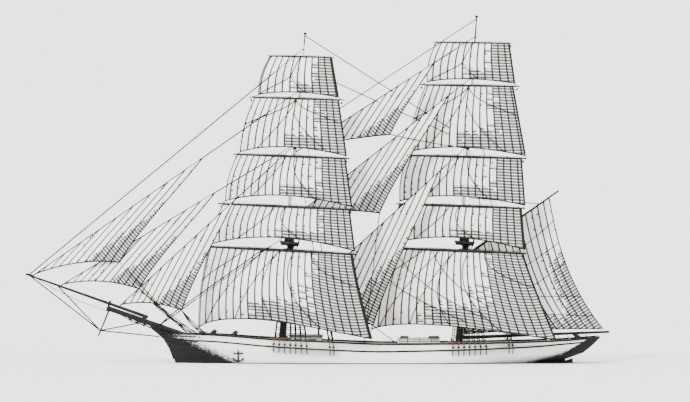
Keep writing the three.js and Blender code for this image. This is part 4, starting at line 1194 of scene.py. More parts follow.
def gore(tack: Vector, clew: Vector, head: Vector) -> float:
    """Return how far a sail's tack lies from the leech between its clew and its head, in metres."""
    leech = (head - clew).normalized()
    return ((tack - clew) - leech * (tack - clew).dot(leech)).length


@dataclass(frozen=True)
class StaySail:
    """A three-cornered sail on a stay; tack and head are shares of the stay, clew is the after corner."""

    stay: str
    carrier: str
    tack: float
    head: float
    clew: Point
    hollow: float
    arch: float
    belly: float

    def surface(self, u: float, v: float) -> Vector:
        """Return the middle surface's place.

        Args:
            u: the share across from luff to leech.
            v: the share up from foot to head.

        Returns:
            The place.
        """
        stay = STAYS[self.stay]
        luff = stay.on(mix(self.tack, self.head, v))
        leech = Vector(self.clew).lerp(stay.on(self.head), 0.97 * v).lerp(luff, self.hollow * hump(v))
        belly, arch = self.belly * (1 - 0.7 * v), self.arch * (1 - v) ** 3
        return luff.lerp(leech, u) + vec(0, belly, arch) * hump(u)

    def cloth(self, name: str) -> Cloth:
        """Return the sail with its cloths laid along the leech.

        Args:
            name: the frame's node.

        Returns:
            The sail.
        """
        reach = 1.5 * gore(self.surface(0, 0), Vector(self.clew), self.surface(0, 1))
        return Cloth(name, Body.SHIP, self.carrier, lambda s, d: self.surface(s, 1 - d),
                     lambda s, d: d * (1 - s) * reach, lambda s, d: step_up(0.9 * s + 0.62 * d, 0.98, 1.34), 20, 32)


STAYSAILS = {
    "fore_topmast_staysail": StaySail(
        "foreTopmast", "fore_topmast_stays", 0.985, 0.34, (12.74, 0.45, 3.52), 0.05, 0.3, 0.33),
    "jib": StaySail("jib", "fore_topmast_stays", 0.985, 0.335, (15.57, 0.48, 4.94), 0.07, 0.35, 0.38),
    "flying_jib": StaySail("flyingJib", "fore_topgallant_stays", 0.985, 0.36, (16.88, 0.45, 6.72), 0.07, 0.33, 0.34),
    "main_topmast_staysail": StaySail(
        "mainTopmast", "main_topmast_stays", 0.97, 0.15, (0.0, 0.45, 2.52), 0.05, 0.25, 0.38),
    "main_topgallant_staysail": StaySail(
        "mainTopgallant", "main_topgallant_stays", 0.96, 0.13, (-0.43, 0.42, 9.99), 0.06, 0.15, 0.32),
    "main_royal_staysail": StaySail(
        "mainRoyal", "main_royal_stay", 0.96, 0.225, (-1.13, 0.38, 15.22), 0.04, 0.1, 0.28),
}


@dataclass(frozen=True)
class Spanker:
    """The fore-and-aft sail behind the mainmast; throat and peak are shares of the gaff."""

    boom: tuple[Point, Point] = ((0, 0, 1.7), (-10.07, 0, 2.83))
    gaff: tuple[Point, Point] = ((0, 0, 7.15), (-6.01, 0, 11.93))
    tack: Point = (-0.285, 0, 1.95)
    clew: Point = (-9.63, 0, 2.99)
    throat: float = 0.045
    peak: float = 0.9
    hollow: float = 0.085
    arch: float = 0.12
    belly: float = 0.38

    def frame(self) -> Matrix:
        """Return the matrix from the spanker's own frame into the ship's."""
        return (Matrix.Translation(MAIN.at(-LOWER_MAST_AFT, 0, 0)) @ spin(-math.atan(MAIN.rake), "Y")
                @ spin(SPANKER_SWING, "Z"))

    def on(self, spar: tuple[Point, Point], share: float) -> Vector:
        """Return the place a share of the way along the boom or gaff, in the spanker's frame."""
        return Vector(spar[0]).lerp(Vector(spar[1]), share)

    def surface(self, u: float, v: float) -> Vector:
        """Return the middle surface's place in the ship's frame.

        Args:
            u: the share across from luff to leech.
            v: the share up from foot to head.

        Returns:
            The place.
        """
        luff = Vector(self.tack).lerp(self.on(self.gaff, self.throat), v)
        leech = Vector(self.clew).lerp(self.on(self.gaff, self.peak), v).lerp(luff, self.hollow * hump(v))
        belly, arch = self.belly * (1 - v ** 3), self.arch * (1 - v) ** 3
        return self.frame() @ (luff.lerp(leech, u) + vec(0, belly, arch) * hump(u))

    def cloth(self) -> Cloth:
        """Return the sail with its cloths laid along the leech.

        Returns:
            The sail.
        """
        throat, peak = (self.on(self.gaff, share) for share in (self.throat, self.peak))
        foot, head = (1.28 * gore(corner, Vector(self.clew), peak) for corner in (Vector(self.tack), throat))
        return Cloth(
            "spanker", Body.SPANKER, "spanker_gaff", lambda s, d: self.surface(s, 1 - d),
            lambda s, d: (1 - s) * mix(head, foot, d),
            lambda s, d: max(step_up(s, 0.72, 0.98) * step_up(d, 0.3, 0.6), step_up(d, 0.8, 1.0) * 0.8), 36, 40)


SPANKER = Spanker()


# Places on the frame that pieces are seated on


class Seats:
    """Finds where the frame's surfaces are, so that pieces sit on them."""

    def __init__(self, *names: str) -> None:
        """Gather the surfaces of some nodes.

        Args:
            names: the nodes.
        """
        points, faces = [], []
        for name in names:
            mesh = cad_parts[name].data
            first = len(points)
            points += [v.co.copy() for v in mesh.vertices]
            faces += [[first + i for i in face.vertices] for face in mesh.polygons]
        self.tree = BVHTree.FromPolygons(points, faces)

    def side(self, x: float, z: float, proud: float = 0.0) -> Vector:
        """Return the port side's outermost place at x and z, moved out by proud."""
        place = self.tree.ray_cast(vec(x, 8, z), vec(0, -1, 0))[0]
        return vec(x, (place.y if place else 0.0) + proud, z)

    def inside(self, x: float, z: float) -> Vector:
        """Return the port side's innermost place at x and z."""
        return self.tree.ray_cast(vec(x, 0.3, z), vec(0, 1, 0))[0] or vec(x, 1.0, z)

    def top(self, x: float, y: float, start: float = 3.0, rise: float = 0.0) -> Vector:
        """Return the first surface below a place, raised by rise."""
        place = self.tree.ray_cast(vec(x, y, start), -UP)[0]
        return vec(x, y, (place.z if place else 0.0) + rise)


HULL = Seats("hull", "bulwark_port", "bulwark_starboard")


def feet(*nodes: str) -> Line:
    """Return the lower ends of the ropes that land on the port channels, from forward aft.

    Args:
        nodes: the nodes that hold the ropes.

    Returns:
        The middle of each foot.
    """
    groups: list[Line] = []
    for p in sorted((v.co.copy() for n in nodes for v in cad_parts[n].data.vertices
                     if v.co.z < 2.0 and v.co.y > 1.5), key=lambda p: -p.x):
        if not groups or groups[-1][-1].x - p.x >= 0.12:
            groups.append([])
        groups[-1].append(p)
    return [sum(group, Vector()) / len(group) for group in groups]


@dataclass
class SailGear:
    """The bolt ropes round the sails and the lines that cross their fronts.

    fans holds start, end and bend of the lines on each kind of sail, as shares across and down.
    """

    bolt: float = 0.045
    line: float = 0.032
    proud: float = 0.03
    fans: dict[str, list[tuple[float, ...]]] = field(default_factory=lambda: {
        "course": [(0.26, 0, 0.0, 0.42, 0.05), (0.39, 0, 0.12, 1, 0.05), (0.5, 0, 0.37, 1, 0.02),
                   (0.5, 0, 0.61, 1, -0.03), (0.6, 0, 0.84, 1, -0.03), (0.72, 0, 1.0, 0.4, -0.05)],
        "main_course": [(0.0, 0.28, 0.70, 0.93, 0), (0.02, 0.0, 0.78, 0.85, 0), (0.33, 0.0, 0.83, 0.73, 0)],
        "lower_topsail": [(0.42, 0, 0.2, 1, 0.05), (0.5, 0, 0.66, 1, -0.06)],
        "upper_topsail": [(0.46, 0, 0.25, 1, 0.04), (0.54, 0, 0.75, 1, -0.04)],
        "topgallant": [(0.5, 0, 0.0, 0.5, 0.10), (0.5, 0.02, 0.2, 1, 0.06), (0.5, 0, 1.0, 0.42, -0.10),
                       (0.53, 0.3, 0.86, 1, -0.03)],
        "royal": [(0.5, 0, 0.44, 0.55, 0.0), (0.44, 0.55, 0.04, 0.97, 0.05), (0.44, 0.55, 0.62, 0.97, -0.02)],
        "spanker": [(0.0, 0.38, 1.0, 0.16, 0), (0.0, 0.55, 1.0, 0.32, 0), (0.0, 0.82, 1.0, 0.47, 0),
                    (0.36, 0.66, 1.0, 0.745, 0), (0.30, 0.83, 1.0, 0.9, 0)],
    })

    def dress(self, cloths: dict[str, Cloth]) -> None:
        """Put the ropes on every sail.

        Args:
            cloths: the sails by name.
        """
        thick = {Body.SHIP: 1.0, Body.FORE_YARDS: 1.0, Body.MAIN_YARDS: 1.0, Body.SPANKER: 0.75}
        edges = {body: Ropes(f"{body.value}_bolt_ropes", self.bolt * share, 5, body) for body, share in thick.items()}
        lines = {body: Ropes(f"{body.value}_buntlines", self.line, 4, body) for body in (*YARD_BODIES, Body.SPANKER)}
        lee = {body: Ropes(f"{body.value}_lee_leech_ropes", self.bolt * 1.5, 6, body) for body in YARD_BODIES}
        for name, cloth in cloths.items():
            sides = cloth.edges()
            for side in sides:
                edges[cloth.body].add(side)
            if cloth.body in lee:
                lee[cloth.body].add(sides[-1])
            proud = 0.0 if cloth.body is Body.SPANKER else self.proud
            for u, v, *end, bend in [row for kind, fan in self.fans.items() if name.endswith(kind) for row in fan]:
                lines[cloth.body].add(cloth.across((u, v), end, bend, proud))
        for group in (*edges.values(), *lines.values(), *lee.values()):
            group.finish()


@dataclass
class YardGear:
    """The fittings on a mast's yards: bands, jackstays, footropes, sheets and blocks."""

    mast: Mast
    bands: tuple[float, ...] = (0.16, 0.42, 0.7, 0.9, 0.985)
    footrope: tuple[float, float] = (0.5, 0.93)
    jackstay: tuple[float, float] = (0.35, 0.94)

    def dress(self, cloths: dict[str, Cloth]) -> None:
        """Put the fittings on every yard.

        Args:
            cloths: the sails by name.
        """
        name, body = self.mast.name, self.mast.body
        iron = Draft(f"{name}_yard_irons")
        footropes = Ropes(f"{name}_footropes", 0.016, 4, body)
        jackstays = Ropes(f"{name}_jackstays", 0.014, 4, body, Finish.iron)
        sheets = Ropes(f"{name}_sheets", 0.022, 5, body)
        blocks = Repeats(f"{name}_yard_blocks", Finish.black, 0.06, 0.17, 0.05, body=body)
        arms: Line = []
        for key, yard in self.mast.yards.items():
            place = self.mast.frame(yard)
            turn = place.to_3x3()
            for side in (-1, 1):
                for share in self.bands:
                    iron.ring(place @ vec(0, side * share * yard.half, 0), turn.col[1],
                              self.girth(yard, share) + 0.006, 0.016, 10)
                start, end = self.footrope
                ways = [side * mix(start, end * yard.half, t) for t in shares(8)]
                rope = [place @ vec(-0.16, y, -0.1 - 0.62 * math.sin(math.pi * t) ** 0.6)
                        for y, t in zip(ways, shares(8))]
                footropes.add(rope)
                for i in (2, 4, 6):
                    footropes.add([place @ vec(-0.06, ways[i], 0), rope[i]])
                start, end = self.jackstay
                jackstays.add([place @ vec(0.03, side * mix(start, end * yard.half, t),
                                           self.girth(yard, mix(start / yard.half, end, t)) + 0.03)
                               for t in shares(12)])
                blocks.places.append((place @ vec(0, side * 0.95 * yard.half, -0.12), -turn.col[2]))
                if arms:
                    sheets.add([cloths[f"{name}_{key}"].surface((side + 1) / 2, 1.0), arms[max(side, 0)]])
            arms = [place @ vec(0, side * 0.955 * yard.half, 0) for side in (-1, 1)]
        iron.finish(body=body)
        for group in (footropes, jackstays, sheets, blocks):
            group.finish()

    def girth(self, yard: Yard, share: float) -> float:
        """Return the yard's radius at a share of its half length."""
        return yard.radius * mix(1.0, 0.45, max(0.0, (share - 0.3) / 0.7))


@dataclass
class StandingRigging:
    """What makes the shrouds and mastheads complete: ratlines, deadeyes, futtocks, bands and trucks."""

    ratline: float = 0.42
    shroud_head: float = 7.86
    lower_bands: tuple[float, ...] = (1.9, 2.9, 3.9, 4.9, 5.9, 6.9)
    upper_bands: tuple[float, ...] = (8.6, 9.2, 11.6, 12.6, 14.5)
    top_posts: tuple[float, ...] = (-0.85, -0.5, -0.15)
    rim: tuple[tuple[float, float], ...] = ((0.4, -0.5), (0.4, 0.5), (0.1, 1.0), (-0.88, 1.0), (-0.88, -1.0),
                                            (0.1, -1.0))
    ball: tuple[tuple[float, float], ...] = ((-0.10, 0.045), (-0.08, 0.10), (-0.03, 0.115), (0.02, 0.10),
                                             (0.05, 0.05), (0.06, 0.012))

    def dress(self) -> None:
        """Build the pieces of both masts."""
        ratlines = Ropes("ratlines", 0.024, 4)
        served = Ropes("served_ends", 0.036, 6)
        lanyards = Ropes("lanyards", 0.012, 4, material=Finish.manila)
        plates = Ropes("chainplates", 0.036, 4, material=Finish.iron)
        futtocks = Ropes("futtock_shrouds", 0.022, 5, material=Finish.iron)
        iron = Draft("mast_irons")
        eyes = Repeats("deadeyes", Finish.black, 0.085, 0.09, 0.085, 12)
        for mast in MASTS:
            lines = [(foot, mast.at(-(LOWER_MAST_AFT + (i - 3) * 0.074), 0.227, self.shroud_head))
                     for i, foot in enumerate(feet(f"{mast.name}_shrouds"))]
            height = max(foot.z for foot, _ in lines) + 0.7
            while height < lines[0][1].z - 0.5:
                ratlines.both([foot.lerp(head, (height - foot.z) / (head.z - foot.z)) for foot, head in lines])
                height += self.ratline
            lines += [(foot, mast.at(0, 0.1, 14.4))
                      for foot in feet(f"{mast.name}_topmast_stays", f"{mast.name}_topgallant_stays")]
            for foot, head in lines:
                up = (head - foot).normalized()
                low, high = foot + up * 0.16, foot + up * 0.62
                served.both([high, foot + up * 2.6])
                for shift in (-0.05, 0.0, 0.05):
                    lanyards.both([end + vec(shift, 0.03, 0) for end in (low, high)])
                for side in SIDES:
                    eyes.places += [((end - vec(0, 0.045, 0)) * vec(1, side, 1), vec(0, side, 0))
                                    for end in (low, high)]
                wale = along(SHEER, foot.x) - along(WALE_DROP, foot.x)
                plates.both([vec(foot.x, foot.y + 0.03, wale - 0.03), HULL.side(foot.x, wale - 0.36, 0.02)])
            for aft in self.top_posts:
                futtocks.both([mast.at(aft, 0.98, 8.0), mast.at(-LOWER_MAST_AFT + (aft + 0.5) * 0.3, 0.24, 7.1)])
            self.mast_bands(mast, iron)
            self.top(mast, iron)
        iron.finish()
        for group in (ratlines, served, lanyards, plates, futtocks, eyes):
            group.finish()

    def mast_bands(self, mast: Mast, iron: Draft) -> None:
        """Set the hoops and the small turned ball at the masthead.

        Args:
            mast: the mast.
            iron: the draft that they join.
        """
        way = mast.at(0, 0, 1) - mast.at(0, 0, 0)
        heads = (15.6, 16.6, mast.truck - 1.3)
        for heights, ahead, clear, thick, sides in (
                (self.lower_bands, -LOWER_MAST_AFT, 0.012, 0.02, 16), (self.upper_bands, 0, 0.01, 0.016, 16),
                (heads, 0, 0.008, 0.012, 12)):
            for height in heights:
                iron.ring(mast.at(ahead, 0, height), way, mast.radius(height) + clear, thick, sides)
        iron.strip([[mast.at(radius * math.cos(a), radius * math.sin(a), mast.truck + height) for a in turns(12)]
                    for height, radius in self.ball], Finish.black)

    def top(self, mast: Mast, iron: Draft) -> None:
        """Set the rim, the trestles and the small posts of a mast's top.

        Args:
            mast: the mast.
            iron: the draft that they join.
        """
        bars = [((*a, 8.115), (*b, 8.115), 0.03, None, 6) for a, b in zip(self.rim, self.rim[1:] + self.rim[:1])]
        for side in SIDES:
            bars.append(((0.36, side * 0.2, 7.93), (-0.86, side * 0.2, 7.93), 0.07, None, 4))
            bars += [((aft, side * 0.93, 8.09), (aft, side * 0.93, 8.4), 0.05, 0.03, 8) for aft in self.top_posts]
        bars += [((x, -0.86, 7.97), (x, 0.86, 7.97), 0.05, None, 4) for x in (0.25, -0.1, -0.6)]
        for a, b, radius, end, sides in bars:
            iron.bar(mast.at(*a), mast.at(*b), radius, Finish.black, end, sides)


@dataclass
class HullFittings:
    """Small fittings on the outside of the hull: head rails, hawse pipes, anchors, timberheads and pintles."""

    lower_rails: tuple[tuple[float, ...], ...] = ((14.0, 11.7, 1.66, 1.42, 0.12), (13.8, 11.9, 1.44, 1.12, 0.16))
    timberheads: tuple[float, ...] = (10.6, 9.2, -13.6)
    pintles: tuple[float, ...] = (-0.35, -1.3, -2.3)
    anchor: float = 8.95

    def dress(self) -> None:
        """Build the fittings."""
        rails = Ropes("head_rails", 0.045, 8, material=Finish.black)
        upper = [(mix(14.15, 11.5, t), t ** 0.7) for t in shares(12)]
        rails.both([self.near(x, mix(1.86, along(SHEER, x) - 0.16, t)) for x, t in upper])
        for first, last, high, low, hang in self.lower_rails:
            rails.both([self.near(mix(first, last, t), mix(high, low, t) - hang * math.sin(math.pi * t))
                        for t in shares(12)])
        rails.finish()
        iron = Draft("hull_fittings")
        for side in SIDES:
            flip = vec(1, side, 1)
            iron.ring(HULL.side(12.6, 1.25) * flip, vec(0.45, side, 0), 0.13, 0.045)
            for x in self.timberheads:
                foot = HULL.side(x, along(SHEER, x)) * flip - vec(0, side * 0.1, 0)
                iron.bar(foot, foot + UP * 0.33, 0.10, Finish.black, 0.085, 8)
                iron.bar(foot + vec(-0.2, 0, 0.2), foot + vec(0.2, 0, 0.2), 0.05, Finish.black, sides=6)
            for z in self.pintles:
                iron.box((-12.8, side * 0.07, z), (0.3, 0.05, 0.06), Finish.iron)
            self.small_anchor(iron, flip)
        iron.finish(Slot.BULWARK)

    def near(self, x: float, z: float) -> Vector:
        """Return a place just off the port side, kept a little off the middle line."""
        place = HULL.side(x, z, 0.03)
        return vec(x, max(place.y, 0.09), z)

    def small_anchor(self, iron: Draft, flip: Vector) -> None:
        """Hang the small stocked anchor that lies against the planking.

        Args:
            iron: the draft that it joins.
            flip: what a place to port is multiplied with.
        """
        bars = [(0, 0.82, 0, 0.16, 0.05, 0.06, 8), (0.33, 0.68, -0.33, 0.68, 0.045, 0.045, 8)]
        for way in SIDES:
            bars += [(0, 0.14, way * 0.28, 0.26, 0.06, 0.03, 8), (way * 0.28, 0.24, way * 0.36, 0.42, 0.07, 0.02, 6)]
        for x, z, to_x, to_z, radius, end, sides in bars:
            ends = [HULL.side(self.anchor + a, b, 0.07) * flip for a, b in ((x, z), (to_x, to_z))]
            iron.bar(*ends, radius, Finish.iron, end, sides)
        iron.ring(HULL.side(self.anchor, 0.88, 0.07) * flip, vec(1, 0, 0), 0.07, 0.02)


@dataclass
class HeadGear:
    """The gear ahead of the bow, with the served stays and the staysails' sheets.

    head_sheets gives the rail's place for each sheet, and main_sheets the end.
    """

    bowsprit: tuple[Point, Point] = ((11.95, 0, 1.62), (17.75, 0, 3.672))
    jibboom: tuple[Point, Point] = ((15.0, 0, 3.035), (23.17, 0, 5.925))
    striker: tuple[Point, Point] = ((17.56, 0, 3.6), (18.31, 0, 1.78))
    martingale: Point = (18.18, 0, 2.15)
    martingale_ropes: tuple[Point, ...] = ((22.9, 0, 5.83), (21.07, 0, 5.182), (15.13, 0, 2.745), (14.25, 0, 1.75))
    head_sheets: tuple[tuple[str, float], ...] = (
        ("jib", 12.1), ("jib", 11.8), ("fore_topmast_staysail", 11.1), ("flying_jib", 12.4),
        ("fore_topmast_staysail", 11.4))
    main_sheets: tuple[tuple[str, Point], ...] = (
        ("main_topmast_staysail", (-1.6, 3.1, 1.36)), ("main_topgallant_staysail", (0.6, 3.4, 1.36)),
        ("main_royal_staysail", tuple(MAIN.at(-0.1, 0.2, 14.3))))

    def dress(self) -> None:
        """Build the gear."""
        iron = Draft("bowsprit_irons")
        for spar, places, radii, thick in (
                (self.bowsprit, (0.36, 0.375, 0.39, 0.405, 0.42, 0.55, 0.7, 0.985), (0.212, 0.172), 0.022),
                (self.jibboom, (0.1, 0.3, 0.45, 0.62, 0.79, 0.985), (0.128, 0.068), 0.016)):
            iron.bands([Vector(end) for end in spar], places, radii, thick)
        iron.finish()
        self.footropes()
        self.sheets()
        upper = Ropes("upper_stays", 0.036)
        for start, end in ((MAIN.at(0, 0.05, 22.98), FORE.at(0.1, 0.3, 15.0)),
                           (FORE.at(0, 0.05, 21.9), MAIN.at(0, 0.12, 14.9)),
                           (FORE.at(0, 0.07, 19.8), MAIN.at(0, 0.13, 14.7))):
            upper.add([start, end])
        upper.finish()
        served = Ropes("served_stays", 0.048, 6)
        for key, stay in STAYS.items():
            served.add([stay.on(0.7 if key == "fore" else 0.1), stay.on(0.994)])
        for end in self.martingale_ropes:
            served.add([Vector(self.martingale), Vector(end)])
        stay, beside = STAYS["fore"], vec(0.08, 0, 0.11)
        served.add([stay.on(0.1), stay.on(0.2) + beside, stay.on(0.9) + beside, stay.on(0.99)])
        served.finish()
        sleeve = Draft("striker_sleeve")
        sleeve.bar(*self.striker, 0.062, Finish.black, 0.05, 8)
        sleeve.finish()

    def footropes(self) -> None:
        """Hang the jibboom's footropes and the netting below the bowsprit."""
        ropes = Ropes("head_footropes", 0.018, 4)
        for side in SIDES:
            ropes.sag(vec(15.3, side * 0.14, 3.0), vec(22.3, side * 0.08, 5.55), 0.45, 14)
            near, far, low = vec(12.9, side * 0.9, 2.0), vec(17.4, side * 0.17, 3.5), vec(16.4, side * 0.18, 2.95)
            ropes.sag(near, far, 0.16)
            ropes.sag(near - UP * 0.12, low, 0.1)
            for t in shares(9)[:-1]:
                ropes.add([near.lerp(far, t) - UP * 0.16 * hump(t), near.lerp(low, t) - UP * (0.12 + 0.1 * hump(t))])
        ropes.finish()

    def sheets(self) -> None:
        """Lead the sheets of the headsails and of the staysails between the masts."""
        sheets = Ropes("headsail_sheets", 0.034)
        for name, rail in self.head_sheets:
            for side, drop in ((1, 0.06), (-1, 0.3)):
                end = HULL.side(rail, along(SHEER, rail)) * vec(1, side, 1) - vec(0, side * 0.08, -0.1)
                sheets.sag(Vector(STAYSAILS[name].clew), end, drop)
        for name, end in self.main_sheets:
            sheets.sag(Vector(STAYSAILS[name].clew), Vector(end), 0.05)
        sheets.finish()


@dataclass
class SpankerGear:
    """Hoops on the mast, the peak halyards and the boom sheets of the spanker."""

    hoops: int = 9
    halyards: tuple[tuple[float, float], ...] = ((0.8, 11.05), (0.5, 9.9))
    boom_sheets: tuple[float, ...] = (0.60, 0.66, 0.72, 0.78, 0.84)

    def dress(self) -> None:
        """Build the gear."""
        place = SPANKER.frame()
        iron = Draft("spanker_irons")
        for i in range(self.hoops):
            height = 2.3 + i * 0.56
            iron.ring(place @ vec(-0.02, 0, height), place.to_3x3() @ vec(0.06, 0, 1), MAIN.radius(height) + 0.045,
                      0.018, 20, Finish.oak)
        for spar, places, radii in ((SPANKER.boom, (0.07, 0.35, 0.62, 0.82, 0.985), (0.138, 0.088)),
                                    (SPANKER.gaff, (0.12, 0.35, 0.6, 0.84, 0.985), (0.108, 0.063))):
            iron.bands([place @ Vector(end) for end in spar], places, radii, 0.018)
        iron.finish(body=Body.SPANKER)
        halyards = Ropes("peak_halyards", 0.032, 5, Body.SPANKER)
        for share, height in self.halyards:
            halyards.add([place @ SPANKER.on(SPANKER.gaff, share), place @ vec(0, 0, height)])
        halyards.finish()
        for i, share in enumerate(self.boom_sheets, 1):
            top = place @ (SPANKER.on(SPANKER.boom, share) - UP * 0.1)
            foot = HULL.top(top.x - 0.55, 0.8)
            sheet = Ropes(f"boom_sheet_{i}", 0.024)
            sheet.add([foot.lerp(top, t) for t in shares(10)])
            piece = sheet.grow()
            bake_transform(piece)
            log.info("%s: from %s to %s", piece.name, Body.SHIP.value, Body.SPANKER.value)


@dataclass
class Deckhouse:
    """Windows, trim and a stove pipe on the house, and panels on its door."""

    windows: tuple[float, ...] = (4.05, 5.0)
    middle: float = 4.47
    wall: float = 1.25
    battens: tuple[float, ...] = (-0.9, -0.45, 0.0, 0.45, 0.9)
    panels: tuple[tuple[float, float], ...] = ((0.92, 0.18), (1.36, 0.2))

    def dress(self) -> None:
        """Build the trim and the panels."""
        draft = Draft("deckhouse_trim")
        for side in SIDES:
            y = side * self.wall
            for x in self.windows:
                pane = y - side * 0.015
                draft.box((x, pane, 1.37), (0.205, 0.012, 0.185), Finish.glass, 0.004)
                for z in (1.15, 1.59):
                    draft.box((x, y, z), (0.26, 0.02, 0.03), Finish.black, 0.006)
                for shift in (-0.23, 0.23):
                    draft.box((x + shift, y, 1.37), (0.03, 0.02, 0.25), Finish.black, 0.006)
                draft.box((x, pane, 1.37), (0.012, 0.02, 0.19), Finish.black)
                draft.box((x, pane, 1.372), (0.2, 0.02, 0.012), Finish.black)
            draft.box((self.middle, y, 0.7), (1.09, 0.025, 0.04), Finish.black, 0.01)
            draft.box((self.middle, y + 0.01, 1.755), (1.11, 0.04, 0.035), Finish.black, 0.01)
            for x in (3.385, 5.555):
                draft.box((x, y, 1.245), (0.03, 0.03, 0.545), Finish.black, 0.01)
        draft.bar((3.62, 0.75, 1.83), (3.62, 0.75, 2.5), 0.07, Finish.iron, sides=14)
        draft.bar((3.62, 0.75, 2.5), (3.62, 0.75, 2.58), 0.12, Finish.iron, 0.04, 14)
        for y in self.battens:
            draft.box((self.middle, y, 1.889 - 0.03 * abs(y)), (1.07, 0.02, 0.019), Finish.black, 0.004)
        draft.finish(Slot.JOINERY)
        low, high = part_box("deckhouse_door")
        door = Draft("door_panels")
        for z, half in self.panels:
            for x in (low.x - 0.006, high.x + 0.006):
                door.box((x, -0.01, z), (0.012, 0.21, half), Finish.oak, 0.008)
        door.bar((low.x - 0.05, -0.25, 1.12), (high.x + 0.05, -0.25, 1.12), 0.022, Finish.brass, sides=12)
        door.finish(Slot.DARK, Body.DOOR)


@dataclass
class Boat:
    """Black sheets of painted shade over the ends, and the strakes and gripes of the boat amidships.

    shade_sheet_ring goes round each black sheet in shares of the boat's half breadth; its first shade_sheet_top places
    are arched.
    """

    strakes: tuple[float, ...] = (0.10, 0.26, 0.4)
    gripes: tuple[float, ...] = (-3.9, -3.1, -2.3)
    shade_sheet_ring: tuple[float, ...] = (-1, -0.75, -0.5, -0.25, 0, 0.25, 0.5, 0.75, 1, 0.5, 0, -0.5)
    shade_sheet_top: int = 9

    def dress(self) -> None:
        """Build the pieces."""
        low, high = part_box("ships_boat")
        seats = Seats("ships_boat")
        strakes = Ropes("boat_strakes", 0.022, 6, material=Finish.black)
        gripes = Ropes("boat_gripes", 0.025)
        for drop in self.strakes:
            line = [seats.side(mix(low.x + 0.12, high.x - 0.14, t), high.z - drop, 0.008) for t in shares(16)]
            strakes.both([p for p in line if p.y > 0.05])
        for x in self.gripes:
            hoop = [seats.top(x, y, 3.0, 0.02) for y in (-0.3, 0.0, 0.3)]
            edge, down = (seats.side(x, high.z - drop, 0.03) for drop in (0.12, 0.5))
            gripes.add([*mirrored([down, edge]), *hoop, edge, down])
        strakes.finish()
        gripes.finish()
        # Painted shade: black arched sheets over both ends of the boat.
        shade_sheet = Draft("boat_cover")
        for a, b in ((low.x + 0.06, low.x + 0.78), (high.x - 0.75, high.x - 0.2)):
            rings = []
            for x in [mix(a, b, t) for t in shares(6)]:
                half = max(0.06, seats.side(x, high.z - 0.14).y + 0.03)
                rings.append([vec(x, y * half, high.z - 0.1 + (0.2 * (1 - abs(y) ** 2.2) if k < self.shade_sheet_top else 0))
                              for k, y in enumerate(self.shade_sheet_ring)])
            shade_sheet.strip(rings, Finish.black)
        shade_sheet.finish(Slot.JOINERY)


@dataclass
class HatchAndSkylight:
    """Battens and clips on the hatch, and glass and bars on the skylight."""

    battens: tuple[float, ...] = (-3.9, -3.05, -2.2)
    clips: int = 6
    panes: int = 4
    slope: float = math.atan2(0.25, 0.6)

    def dress(self) -> None:
        """Build the pieces."""
        draft = Draft("hatch_battens")
        for x in self.battens:
            draft.box((x, 0, 0.7825), (0.04, 0.92, 0.0225), Finish.oak, 0.008)
        for side in SIDES:
            draft.box((-3.05, side * 0.905, 0.67), (1.11, 0.02, 0.03), Finish.black, 0.008)
            for t in shares(self.clips - 1):
                draft.box((mix(-4.05, -2.05, t), side * 0.92, 0.67), (0.04, 0.03, 0.07), Finish.iron, 0.006)
            for t in shares(self.panes - 1):
                turn = Matrix.Translation((mix(-9.45, -8.45, t), side * 0.3, 1.032)) @ spin(-side * self.slope, "X")
                draft.box((0, 0, 0), (0.13, 0.24, 0.012), Finish.glass, 0.004, turn)
                for k in (-0.08, 0.0, 0.08):
                    draft.bar(turn @ vec(k, -0.26, 0.03), turn @ vec(k, 0.26, 0.03), 0.009, Finish.brass, sides=6)
            draft.box((-8.95, side * 0.61, 0.89), (0.77, 0.02, 0.03), Finish.black, 0.008)
        draft.bar((-9.72, 0, 1.16), (-8.18, 0, 1.16), 0.035, Finish.oak, sides=8)
        draft.finish(Slot.JOINERY)


@dataclass
class WindlassAndWheel:
    """Whelps and bands on the windlass, a binnacle before the wheel and two bitts."""

    barrel: Point = (11.15, 0, 1.45)
    whelps: tuple[tuple[float, float], ...] = ((-0.78, -0.42), (-0.2, 0.2), (0.42, 0.78))
    bands: tuple[float, ...] = (-0.8, -0.4, -0.22, 0.22, 0.4, 0.8)

    def dress(self) -> None:
        """Build the pieces."""
        draft = Draft("windlass_irons")
        for angle in turns(12):
            x, z = self.barrel[0] + 0.178 * math.cos(angle), self.barrel[2] + 0.178 * math.sin(angle)
            for a, b in self.whelps:
                draft.bar((x, a, z), (x, b, z), 0.022, Finish.oak, sides=5)
        for y in self.bands:
            draft.ring(Vector(self.barrel) + vec(0, y, 0), vec(0, 1, 0), 0.185, 0.022)
        foot = HULL.top(-11.7, 0.0, 2.5)
        draft.box(foot + UP * 0.35, (0.2, 0.2, 0.37), Finish.oak, 0.03)
        draft.bar(foot + UP * 0.72, foot + UP * 0.98, 0.16, Finish.brass, 0.05, 16)
        for y in (-0.55, 0.55):
            foot = HULL.top(-10.9, y, 2.5)
            draft.bar(foot, foot + UP * 0.42, 0.1, Finish.black, 0.085, 10)
        draft.finish(Slot.DARK)


